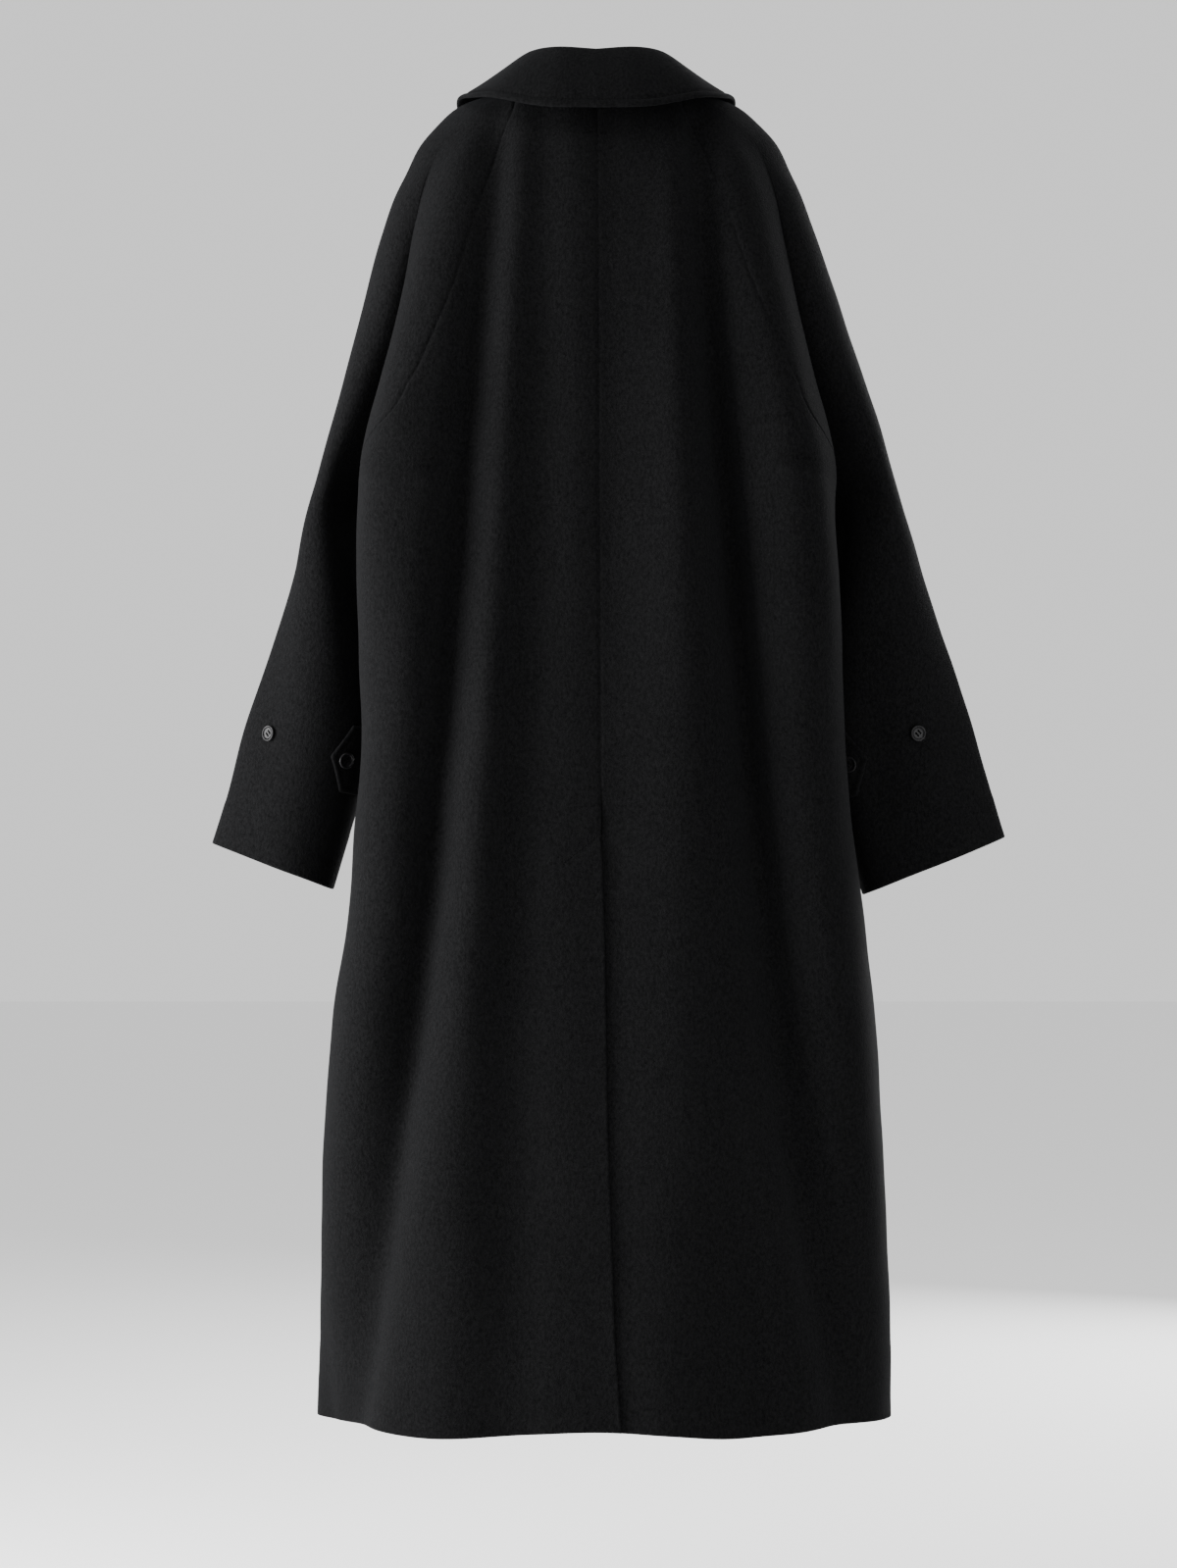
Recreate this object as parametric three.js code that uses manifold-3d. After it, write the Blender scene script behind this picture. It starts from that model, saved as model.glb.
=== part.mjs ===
// Balmacaan coat, worn and empty. Millimetres, +Z up, the wearer faces +Y and +X is the wearer's right.
// The origin is the middle of the neck opening at the height of the collar seam over the shoulders.
import * as THREE from 'three';
import { mergeVertices } from 'three/addons/utils/BufferGeometryUtils.js';
import Module from 'manifold-3d';

const wasm = await Module();
wasm.setup();

// Named sizes
const WALL = 2.5;            // heavy coat wool
const SEAM_GAP = 0.15;       // each side of a seam is drawn back by this much
const ARMPIT = 430;          // distance along the overarm line from the neck to the armpit level
const CUFF = 773;            // and to the cuff
const HEM = 1282;            // and down the body to the hem
const VENT_TOP = 752;
const VENT_STEP = 1.7;       // the vent's two layers part by this much each way
const FRONT_LAP = 28;        // the fronts pass the middle line by this much
const SLEEVE_LEAN = 10;      // both sleeves hang this far to the wearer's right below the elbow
const SAMPLES = 40;          // points on each quarter of a section
const FACE = WALL / 2;       // from the middle of the wall to its outer face
// How much lower each cuff hangs at its inner and at its outer end
const CUFF_DROP = { left: { inner: 0, outer: 6 }, right: { inner: 5, outer: 0 } };
// Where one layer lies over another they part slowly: from here to the middle line, over this width
const LAYERS = { front: 62, frontEase: 30, over: 70, overEase: 32, under: 36, above: 50, aboveEase: 48 };

// Rows of numbers as one list for each named column
function table(columns, rows) {
  const out = {};
  columns.forEach((name, i) => { out[name] = rows.map((row) => row[i]); });
  return out;
}

// A smooth curve through the values, each slope taken from the two neighbours
function slopeAt(x, y, i) {
  const n = x.length;
  if (i === 0) return (y[1] - y[0]) / (x[1] - x[0]);
  if (i === n - 1) return (y[n - 1] - y[n - 2]) / (x[n - 1] - x[n - 2]);
  const a = x[i] - x[i - 1];
  const b = x[i + 1] - x[i];
  return ((y[i + 1] - y[i]) / b * a + (y[i] - y[i - 1]) / a * b) / (a + b);
}
function blend(x, y, at) {
  let i = 0;
  while (i < x.length - 2 && at >= x[i + 1]) i += 1;
  const span = x[i + 1] - x[i];
  const t = Math.min(1, Math.max(0, (at - x[i]) / span));
  return (1 + 2 * t) * (1 - t) ** 2 * y[i] + t * (1 - t) ** 2 * span * slopeAt(x, y, i)
    + t * t * (3 - 2 * t) * y[i + 1] + t * t * (t - 1) * span * slopeAt(x, y, i + 1);
}
const column = (t, name, at) => blend(t.along, t[name], at);
function step(t) {
  const c = Math.min(1, Math.max(0, t));
  return c * c * (3 - 2 * c);
}

// Line over the shoulder and down the outside of the sleeve
const OVERARM = table(['along', 'x', 'y', 'z'], [
  [0, 77, 2, 0], [24, 100, 3, -8], [56, 130, 4, -20], [81, 148, 5, -36], [103, 162, 6, -52],
  [135, 176, 8, -81], [155, 185, 9, -99], [193, 198, 12, -135], [250, 215, 17, -189],
  [298, 229, 22, -235], [344, 242, 27, -279], [387, 254, 32, -320], [430, 265, 38, -362],
  [500, 285, 42, -429], [580, 310, 46, -506], [660, 336, 49, -582], [720, 352, 50, -640],
  [773, 367, 51, -688]]);
// Fold between body and sleeve: its place, the way the cloth turns into and out of it, and how far each curve
// reaches from it and from the overarm line
const CREASE = ['along', 'x', 'y', 'z', 'turnIn', 'turnOut', 'reachIn', 'reachOut', 'reachOver'];
const BACK_CREASE = table(CREASE, [
  [0, 66, -37, -4, 57, -57, 26, 13, 13],
  [24, 80, -42, -11, 53, -53, 32, 17, 15],
  [56, 103, -45, -22, 49, -49, 38, 20, 17],
  [81, 122, -46, -38, 46, -46, 42, 21, 18],
  [103, 138, -47, -54, 46, -44, 44, 20, 18],
  [135, 152, -50, -81, 66, -34, 50, 18, 20],
  [155, 158, -50, -99, 73, -20, 57, 18, 22],
  [193, 166, -50, -135, 82, 5, 68, 20, 28],
  [250, 176, -46, -189, 88, 30, 92, 26, 38],
  [298, 185, -38, -235, 92, 38, 112, 32, 48],
  [344, 195, -24, -279, 95, 44, 140, 42, 58],
  [387, 203, -2, -320, 98, 46, 176, 50, 68],
  [412, 206, 16, -345, 99, 46, 200, 56, 76]]);
const FRONT_CREASE = table(CREASE, [
  [0, 66, 36, -9, 55, -55, 26, 13, 12],
  [24, 80, 43, -17, 52, -52, 34, 17, 15],
  [56, 100, 50, -30, 49, -49, 42, 22, 20],
  [81, 116, 56, -44, 47, -47, 48, 26, 24],
  [103, 130, 62, -58, 46, -44, 50, 28, 28],
  [135, 144, 68, -84, 48, -34, 50, 30, 34],
  [155, 151, 72, -101, 50, -22, 50, 32, 40],
  [193, 158, 78, -136, 54, 0, 48, 38, 53],
  [250, 166, 84, -189, 57, 23, 44, 46, 70],
  [298, 174, 82, -235, 60, 36, 43, 56, 83],
  [344, 183, 73, -279, 62, 48, 45, 70, 93],
  [387, 194, 56, -320, 64, 58, 52, 86, 101],
  [412, 201, 42, -345, 65, 64, 60, 97, 105]]);
// Side seam below the armpit
const SIDE = table(['along', 'xLeft', 'xRight', 'y', 'z', 'turnBack', 'reachBack', 'turnFront', 'reachFront'], [
  [430, 206, 206, 30, -362, 99, 218, 66, 66],
  [450, 204, 203, 30, -382, 99, 222, 64, 64],
  [511, 203, 200, 27, -443, 98, 222, 60, 62],
  [592, 201, 198, 23, -524, 97, 218, 58, 60],
  [673, 201, 200, 17, -605, 96, 208, 58, 62],
  [754, 210, 212, 13, -686, 95, 194, 64, 72],
  [835, 220, 231, 8, -767, 93, 178, 74, 84],
  [920, 236, 244, 3, -852, 92, 160, 84, 90],
  [1067, 249, 255, 0, -1002, 90, 140, 89, 96],
  [1282, 256, 265, 0, -1219, 90, 126, 90, 104]]);
// Underarm line of the sleeve
const INNER = table(['along', 'x', 'y', 'z', 'turnBack', 'reachBack', 'overBack', 'turnFront', 'reachFront',
  'overFront'], [
  [430, 206, 30, -362, 46, 60, 80, 72, 104, 107],
  [450, 213, 33, -382, 53, 72, 66, 78, 104, 107],
  [500, 213, 37, -432, 68, 98, 42, 84, 102, 102],
  [580, 206, 43, -517, 78, 116, 26, 88, 94, 92],
  [660, 211, 48, -602, 87, 110, 24, 90, 80, 78],
  [720, 228, 51, -672, 93, 96, 26, 90, 68, 66],
  [773, 247, 52, -736, 95, 84, 28, 90, 58, 58]]);
// Middle of the back and of the front
const CENTRE = table(['along', 'backY', 'backZ', 'backReach', 'frontY', 'frontZ', 'frontReach'], [
  [0, -72, -12, 27, 80, -76, 27], [24, -78, -22, 34, 87, -84, 34], [56, -86, -36, 44, 94, -97, 44],
  [81, -92, -48, 52, 99, -108, 54], [103, -98, -62, 60, 103, -120, 62], [135, -107, -86, 72, 108, -140, 74],
  [155, -112, -103, 82, 111, -155, 80], [193, -120, -137, 96, 115, -182, 88],
  [250, -129, -190, 114, 119, -225, 96], [298, -134, -235, 126, 122, -262, 100],
  [344, -138, -279, 136, 124, -297, 104], [387, -140, -320, 146, 125, -331, 108],
  [430, -141, -362, 156, 126, -366, 112], [592, -142, -524, 160, 128, -524, 112],
  [754, -146, -686, 164, 131, -686, 120], [920, -154, -852, 168, 138, -852, 134],
  [1067, -165, -999, 172, 148, -999, 146], [1282, -181, -1207, 176, 164, -1212, 158]]);
// How far before the fold the raglan seam lies
const RAGLAN = table(['along', 'back', 'front'], [
  [0, 0, 0], [24, 10, 8], [56, 35, 22], [81, 47, 32], [103, 58, 38], [135, 73, 42], [155, 79, 44],
  [193, 87, 44], [250, 100, 44], [298, 108, 44], [344, 119, 40], [387, 121, 32], [412, 78, 18], [430, 0, 0]]);
// Middle seam of the back, and the edges of the vent's upper and lower layer
const MIDDLE = table(['along', 'over', 'under'], [
  [0, -2, -2], [430, 0, 0], [640, 1.5, 1.5], [752, 2, 2], [776, 3.2, -30], [850, 5.5, -33],
  [1010, 8, -31], [1100, 11, -28], [1200, 14.5, -25], [1282, 20, -22]]);
// How much lower the hem hangs at each place across, fading out above it
const HEM_WAVE = table(['x', 'drop'], [
  [-256, -2], [-215, 1], [-140, 8], [-60, 5], [0, 3], [60, 6], [115, 9], [165, 6], [215, 0], [265, -3]]);
const WAVE_TOP = 1040;
// Long soft folds of the body: place across, lift and half width at four heights
const FOLD_DOWN = [60, 360, 780, 1214];
const FOLDS = {
  back: [
    { x: [-92, -118, -160, -236], lift: [-10, -28, -30, -24], half: [12, 17, 19, 22] },
    { x: [-72, -93, -114, -136], lift: [3, 9, 11, 14], half: [12, 13, 20, 38] },
    { x: [-50, -52, -72, -84], lift: [-3, -6, -6, -5], half: [12, 15, 18, 22] },
    { x: [-20, -18, -18, -14], lift: [2, 3, 3, 3], half: [16, 18, 24, 30] },
    { x: [8, 9, 10, 14], lift: [-2, -3, -0.8, -1], half: [12, 14, 22, 24] },
    { x: [74, 77, 74, 62], lift: [5, 13, 12, 10], half: [15, 24, 36, 32] },
    { x: [88, 110, 155, 230], lift: [-13, -38, -34, -18], half: [11, 14, 19, 20] },
    { x: [90, 98, 106, 148], lift: [0, 0, -2, -8], half: [16, 16, 16, 18] },
    { x: [118, 174, 208, 248], lift: [6, 17, 18, 10], half: [14, 17, 22, 20] },
    { x: [-118, -192, -212, -262], lift: [2, 8, 8, 4], half: [12, 14, 18, 20] },
  ],
  front: [
    { x: [-92, -118, -140, -190], lift: [-2, -8, -10, -10], half: [14, 20, 26, 28] },
    { x: [-60, -76, -96, -140], lift: [1, 4, 6, 7], half: [16, 22, 28, 34] },
    { x: [92, 122, 150, 196], lift: [-2, -9, -9, -11], half: [14, 22, 26, 28] },
    { x: [58, 80, 104, 150], lift: [1, 4, 5, 8], half: [16, 24, 28, 34] },
  ],
};
// Soft folds of the sleeves: from and to along the sleeve, share across at each end, lift and half width
const SLEEVE_FOLD = ['from', 'to', 'share0', 'share1', 'lift', 'half'];
const SLEEVE_FOLDS = {
  backLeft: table(SLEEVE_FOLD, [[330, 800, 0.74, 0.52, 4, 18], [420, 830, 0.40, 0.26, -4, 15]]),
  backRight: table(SLEEVE_FOLD, [[380, 800, 0.58, 0.34, -5, 17], [380, 860, 0.30, 0.14, 3, 14],
    [540, 860, 0.66, 0.62, 3, 18]]),
  frontLeft: table(SLEEVE_FOLD, [[400, 760, 0.5, 0.4, -4, 18]]),
  frontRight: table(SLEEVE_FOLD, [[420, 780, 0.45, 0.5, -4, 18]]),
};

// The fold and the seam below it joined as one line, for the body and for the sleeve
function joined(part) {
  const crease = part === 'back' ? BACK_CREASE : FRONT_CREASE;
  const end = part === 'back' ? 'Back' : 'Front';
  const both = (a, b) => crease[a].concat(b);
  return {
    body: {
      along: both('along', SIDE.along), xLeft: both('x', SIDE.xLeft), xRight: both('x', SIDE.xRight),
      y: both('y', SIDE.y), z: both('z', SIDE.z),
      turn: both('turnIn', SIDE[`turn${end}`]), reach: both('reachIn', SIDE[`reach${end}`]),
    },
    sleeve: {
      along: both('along', INNER.along), x: both('x', INNER.x), y: both('y', INNER.y), z: both('z', INNER.z),
      turn: both('turnOut', INNER[`turn${end}`]), reach: both('reachOut', INNER[`reach${end}`]),
      over: both('reachOver', INNER[`over${end}`]),
    },
  };
}
const EDGES = { back: joined('back'), front: joined('front') };

// Small vector helpers on [x, y, z]
const add = (a, b, k = 1) => [a[0] + b[0] * k, a[1] + b[1] * k, a[2] + b[2] * k];
const sub = (a, b) => [a[0] - b[0], a[1] - b[1], a[2] - b[2]];
const dot = (a, b) => a[0] * b[0] + a[1] * b[1] + a[2] * b[2];
const cross = (a, b) => [a[1] * b[2] - a[2] * b[1], a[2] * b[0] - a[0] * b[2], a[0] * b[1] - a[1] * b[0]];
const size = (a) => Math.hypot(a[0], a[1], a[2]);
const unit = (a) => { const s = size(a) || 1; return [a[0] / s, a[1] / s, a[2] / s]; };
const mix = (a, b, t) => [a[0] + (b[0] - a[0]) * t, a[1] + (b[1] - a[1]) * t, a[2] + (b[2] - a[2]) * t];

// Points on a cubic curve
function cubic(p0, p1, p2, p3, n) {
  const out = [];
  for (let i = 0; i <= n; i += 1) {
    const s = i / n;
    const w = [(1 - s) ** 3, 3 * s * (1 - s) ** 2, 3 * s * s * (1 - s), s ** 3];
    out.push([0, 1, 2].map((k) => w[0] * p0[k] + w[1] * p1[k] + w[2] * p2[k] + w[3] * p3[k]));
  }
  return out;
}

// Half a body section, from the middle to the fold or the side seam
function bodySection(part, side, along) {
  const t = EDGES[part].body;
  const end = [column(t, side < 0 ? 'xLeft' : 'xRight', along), column(t, 'y', along), column(t, 'z', along)];
  const turn = column(t, 'turn', along) * Math.PI / 180;
  const reach = column(t, 'reach', along);
  const start = [0, column(CENTRE, `${part}Y`, along), column(CENTRE, `${part}Z`, along)];
  const p1 = add(start, [column(CENTRE, `${part}Reach`, along), 0, 0]);
  const p2 = add(end, [Math.cos(turn), (part === 'back' ? 1 : -1) * Math.sin(turn), 0], -reach);
  p2[2] += 0.35 * (start[2] - end[2]);
  const fade = step((along - WAVE_TOP) / (HEM - WAVE_TOP));
  return cubic(start, p1, p2, end, SAMPLES).map((p) => [
    p[0] * side, p[1], p[2] - fade * blend(HEM_WAVE.x, HEM_WAVE.drop, p[0] * side)]);
}

// Half a sleeve section, from the fold or the underarm line to the overarm line
function sleeveSection(part, side, along) {
  const t = EDGES[part].sleeve;
  const sign = part === 'back' ? -1 : 1;
  const start = [column(t, 'x', along), column(t, 'y', along), column(t, 'z', along)];
  const end = [column(OVERARM, 'x', along), column(OVERARM, 'y', along), column(OVERARM, 'z', along)];
  const turn = column(t, 'turn', along) * Math.PI / 180;
  const p1 = add(start, [Math.cos(turn), sign * Math.sin(turn), 0], column(t, 'reach', along));
  p1[2] += 0.35 * (end[2] - start[2]) * step((ARMPIT + 60 - along) / 120);
  const p2 = add(end, [0, sign * column(t, 'over', along), 0]);
  const drop = CUFF_DROP[side < 0 ? 'left' : 'right'];
  const low = step((along - ARMPIT) / (CUFF - ARMPIT));
  return cubic(start, p1, p2, end, SAMPLES).map((p, i) => {
    const share = i / SAMPLES;
    return [side * p[0] + SLEEVE_LEAN * step((-p[2] - 100) / 300) * share, p[1],
      p[2] - low * (drop.inner + (drop.outer - drop.inner) * share)];
  });
}

// A whole row from the wearer's left to right: upper (sleeve, body, sleeve), body, left or right sleeve
function rowOf(part, which, along) {
  if (which === 'upper') {
    return [
      ...sleeveSection(part, -1, along).reverse(),
      ...bodySection(part, -1, along).reverse().slice(1),
      ...bodySection(part, 1, along).slice(1),
      ...sleeveSection(part, 1, along).slice(1)];
  }
  if (which === 'body') {
    return [...bodySection(part, -1, along).reverse(), ...bodySection(part, 1, along).slice(1)];
  }
  return which === 'left' ? sleeveSection(part, -1, along).reverse() : sleeveSection(part, 1, along);
}

function distances(row) {
  const out = [0];
  for (let i = 1; i < row.length; i += 1) out.push(out[i - 1] + size(sub(row[i], row[i - 1])));
  return out;
}

function sleeveLift(part, side, share, length, along) {
  const t = SLEEVE_FOLDS[part + (side < 0 ? 'Left' : 'Right')];
  let total = 0;
  for (let i = 0; i < t.from.length; i += 1) {
    const u = (along - t.from[i]) / (t.to[i] - t.from[i]);
    const spread = step(u / 0.3) * step((1 - u) / 0.3);
    const place = t.share0[i] + (t.share1[i] - t.share0[i]) * Math.min(1, Math.max(0, u));
    total += t.lift[i] * spread * Math.exp(-0.5 * ((share - place) * length / t.half[i]) ** 2);
  }
  return total * step(share * length / 30) * step((1 - share) * length / 30);
}

function bodyLift(part, x, z) {
  const down = Math.min(1214, Math.max(60, -z));
  let total = 0;
  for (const fold of FOLDS[part]) {
    const half = blend(FOLD_DOWN, fold.half, down);
    total += blend(FOLD_DOWN, fold.lift, down) * Math.exp(-0.5 * ((x - blend(FOLD_DOWN, fold.x, down)) / half) ** 2);
  }
  return total * step(-z / 70);
}

// How far the folds lift each point of a row
function lifts(part, which, row, along) {
  const d = distances(row);
  const last = d[d.length - 1];
  if (which === 'body') {
    return row.map((p, i) => bodyLift(part, p[0], p[2]) * step(d[i] / 45) * step((last - d[i]) / 45));
  }
  if (which !== 'upper') {
    const side = which === 'left' ? -1 : 1;
    return row.map((p, i) => sleeveLift(part, side, side < 0 ? 1 - d[i] / last : d[i] / last, last, along));
  }
  const a = d[SAMPLES];
  const b = d[3 * SAMPLES];
  const keep = step((ARMPIT - along) / 60);
  return row.map((p, i) => {
    const lift = bodyLift(part, p[0], p[2]);
    if (i >= SAMPLES && i <= 3 * SAMPLES) {
      const inside = step((d[i] - a) / 45) * step((b - d[i]) / 45);
      return lift * (inside * (1 - 0.4 * keep) + 0.4 * keep);
    }
    const side = i < SAMPLES ? -1 : 1;
    const out = side < 0 ? a - d[i] : d[i] - b;
    const length = side < 0 ? a : last - b;
    return lift * 0.4 * keep * step(1 - out / 40) + sleeveLift(part, side, out / length, length, along);
  });
}

function rowNormals(above, here, below, part) {
  return here.map((p, i) => {
    const across = sub(here[Math.min(here.length - 1, i + 1)], here[Math.max(0, i - 1)]);
    const n = unit(cross(across, sub(below[i], above[i])));
    return part === 'back' ? [-n[0], -n[1], -n[2]] : n;
  });
}

// The folded row with its outward normals
function folded(part, which, along) {
  const low = which === 'upper' ? 0 : ARMPIT;
  const high = which === 'upper' ? ARMPIT : HEM + 10;
  const levels = [Math.max(low, along - 1.5), along, Math.min(high, along + 1.5)];
  const rows = levels.map((a) => rowOf(part, which, a));
  const normals = rowNormals(...rows, part);
  const moved = rows.map((row, k) => {
    const lift = lifts(part, which, row, levels[k]);
    return row.map((p, i) => add(p, normals[i], lift[i]));
  });
  return { p: moved[1], n: rowNormals(...moved, part) };
}

// Back and front rows at one level with the normals shared where they meet
function level(which, along) {
  const back = folded('back', which, along);
  const front = folded('front', which, along);
  for (const k of [0, back.p.length - 1]) {
    const both = unit(add(back.n[k], front.n[k]));
    back.n[k] = both;
    front.n[k] = both;
  }
  const down = [0, 0, -1];
  const corners = { upper: [SAMPLES, 3 * SAMPLES], body: [0, 2 * SAMPLES], left: [SAMPLES], right: [0] }[which];
  if (along === ARMPIT) for (const k of corners) { back.n[k] = down; front.n[k] = down; }
  back.d = distances(back.p);
  front.d = distances(front.p);
  return { back, front };
}

// The point and normal a distance along a row
function sample(row, where) {
  const d = row.d;
  let i = 0;
  while (i < d.length - 2 && where > d[i + 1]) i += 1;
  const t = Math.min(1, Math.max(0, (where - d[i]) / (d[i + 1] - d[i])));
  return { p: mix(row.p[i], row.p[i + 1], t), n: unit(mix(row.n[i], row.n[i + 1], t)) };
}

function linear(x, y, at) {
  let i = 0;
  while (i < x.length - 2 && at > x[i + 1]) i += 1;
  const t = Math.min(1, Math.max(0, (at - x[i]) / (x[i + 1] - x[i])));
  return y[i] + (y[i + 1] - y[i]) * t;
}

// Levels of the coarse rows
const UPPER = [0, 24, 56, 88, 122, 160, 205, 255, 305, 345, 375, 397, 415, 430];
const BODY_DOWN = [450, 485, 535, 592, 650, 705, 752, 776, 830, 895, 965, 1040, 1120, 1200, 1282];
const SLEEVE_DOWN = [450, 480, 525, 580, 635, 685, 730, 773];
const rows = {
  upper: UPPER.map((a) => level('upper', a)),
  body: BODY_DOWN.map((a) => level('body', a)),
  left: SLEEVE_DOWN.map((a) => level('left', a)),
  right: SLEEVE_DOWN.map((a) => level('right', a)),
};

// A closed wall of cloth about a sheet of triangles with normals
function wall(vertices, faces, thick) {
  const n = vertices.length;
  const f0 = faces[Math.floor(faces.length / 2)];
  const [a, b, c] = f0.map((k) => vertices[k].p);
  const turned = dot(cross(sub(b, a), sub(c, a)), vertices[f0[0]].n) < 0;
  const sheet = turned ? faces.map(([i, j, k]) => [i, k, j]) : faces;
  const position = [];
  for (const k of [thick / 2, -thick / 2]) for (const v of vertices) position.push(...add(v.p, v.n, k));
  const index = [];
  const edges = new Map();
  for (const [i, j, k] of sheet) {
    index.push(i, j, k, i + n, k + n, j + n);
    for (const [u, v] of [[i, j], [j, k], [k, i]]) edges.set(u * 100000 + v, [u, v]);
  }
  for (const [u, v] of edges.values()) {
    if (edges.has(v * 100000 + u)) continue;
    const at = (i) => position.slice(3 * i, 3 * i + 3);
    const one = size(sub(at(v), at(u + n)));
    const two = size(sub(at(u), at(v + n)));
    if (one <= two) index.push(v, u, u + n, v, u + n, v + n);
    else index.push(v, u, v + n, u, u + n, v + n);
  }
  const used = new Map();
  const points = [];
  const packed = index.map((i) => {
    if (!used.has(i)) {
      used.set(i, used.size);
      points.push(position[3 * i], position[3 * i + 1], position[3 * i + 2]);
    }
    return used.get(i);
  });
  const geometry = new THREE.BufferGeometry();
  geometry.setAttribute('position', new THREE.Float32BufferAttribute(points, 3));
  geometry.setIndex(packed);
  geometry.computeVertexNormals();
  return geometry;
}

function facing([i, j, k], vertices) {
  return unit(cross(sub(vertices[j].p, vertices[i].p), sub(vertices[k].p, vertices[i].p)));
}

// Triangles of a grid of vertex numbers, each cell cut along the diagonal that bends it least
function gridFaces(grid, vertices) {
  const faces = [];
  for (let i = 0; i + 1 < grid.length; i += 1) {
    for (let j = 0; j + 1 < grid[i].length; j += 1) {
      const [a, b, c, d] = [grid[i][j], grid[i][j + 1], grid[i + 1][j + 1], grid[i + 1][j]];
      const bend = (f, g) => dot(facing(f, vertices), facing(g, vertices));
      const first = [[a, b, c], [a, c, d]];
      const second = [[a, b, d], [b, c, d]];
      const narrow = a === b || b === c || c === d || d === a;
      const cut = narrow || bend(...first) >= bend(...second) ? first : second;
      for (const f of cut) if (f[0] !== f[1] && f[1] !== f[2] && f[0] !== f[2]) faces.push(f);
    }
  }
  return faces;
}

// Draws an edge vertex back from its seam, in the sheet and square to the seam
function drawBack(v, before, after, inner) {
  const b = unit(cross(v.n, sub(after, before)));
  const toward = dot(b, sub(inner, v.p)) < 0 ? -SEAM_GAP : SEAM_GAP;
  return { p: add(v.p, b, toward), n: v.n };
}
function drawBackColumn(grid, from, to, skip = -1) {
  const out = [];
  for (let i = 0; i < grid.length; i += 1) {
    const before = grid[Math.max(0, i - 1)][from].p;
    const after = grid[Math.min(grid.length - 1, i + 1)][from].p;
    out.push(i === skip ? grid[i][from] : drawBack(grid[i][from], before, after, grid[i][to].p));
  }
  out.forEach((v, i) => { grid[i][from] = v; });
}

// Body panels: shares across from the middle edge to the raglan or side seam
function bodyPanel(part, side, count) {
  const grid = [];
  const levels = [...UPPER, ...BODY_DOWN];
  levels.forEach((along, i) => {
    const upper = i < UPPER.length;
    const row = (upper ? rows.upper[i] : rows.body[i - UPPER.length])[part];
    const mid = row.d[upper ? 2 * SAMPLES : SAMPLES];
    const last = row.d.length - 1;
    const fold = upper ? (side > 0 ? 3 * SAMPLES : SAMPLES) : (side > 0 ? last : 0);
    const gap = upper ? column(RAGLAN, part, along) : 0;
    const start = mid + (part === 'front' ? -side * FRONT_LAP
      : linear(MIDDLE.along, side < 0 ? MIDDLE.over : MIDDLE.under, along));
    const line = [];
    for (let j = 0; j <= count; j += 1) {
      const share = j / count;
      const where = start + (row.d[fold] - start) * share - side * gap * step((share - 0.3) / 0.7 * 0.5) * 2;
      const v = sample(row, where);
      line.push({ p: v.p, n: v.n, x: where - mid });
    }
    grid.push(line);
  });
  // The two layers part where one lies over the other
  grid.forEach((line, i) => {
    const along = levels[i];
    line.forEach((v) => {
      let lift = 0;
      if (part === 'front') {
        lift = step((LAYERS.front + side * -v.x) / LAYERS.frontEase) * -side;
      } else {
        const edge = side < 0 ? LAYERS.over : linear(MIDDLE.along, MIDDLE.over, along) + LAYERS.under;
        lift = step((edge - side * v.x) / LAYERS.overEase) * -side;
        lift *= step((along - VENT_TOP + LAYERS.above) / LAYERS.aboveEase);
      }
      v.p = add(v.p, v.n, lift * VENT_STEP);
    });
  });
  const corner = UPPER.length - 1;
  drawBackColumn(grid, count, count - 1, corner);
  const sign = part === 'back' ? -1 : 1;
  const u = grid[corner][count];
  grid[corner][count] = { p: add(u.p, [-0.2 * side, 0.2 * sign, 0]), n: u.n };
  if (part === 'back') {
    for (let i = 0; levels[i] <= VENT_TOP; i += 1) {
      const v = grid[i][0];
      grid[i][0] = { p: add(v.p, [side * SEAM_GAP, 0, 0]), n: v.n };
    }
  }
  const vertices = grid.flat();
  const numbers = grid.map((line, i) => line.map((v, j) => i * (count + 1) + j));
  return wall(vertices, gridFaces(numbers, vertices), WALL);
}

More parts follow.
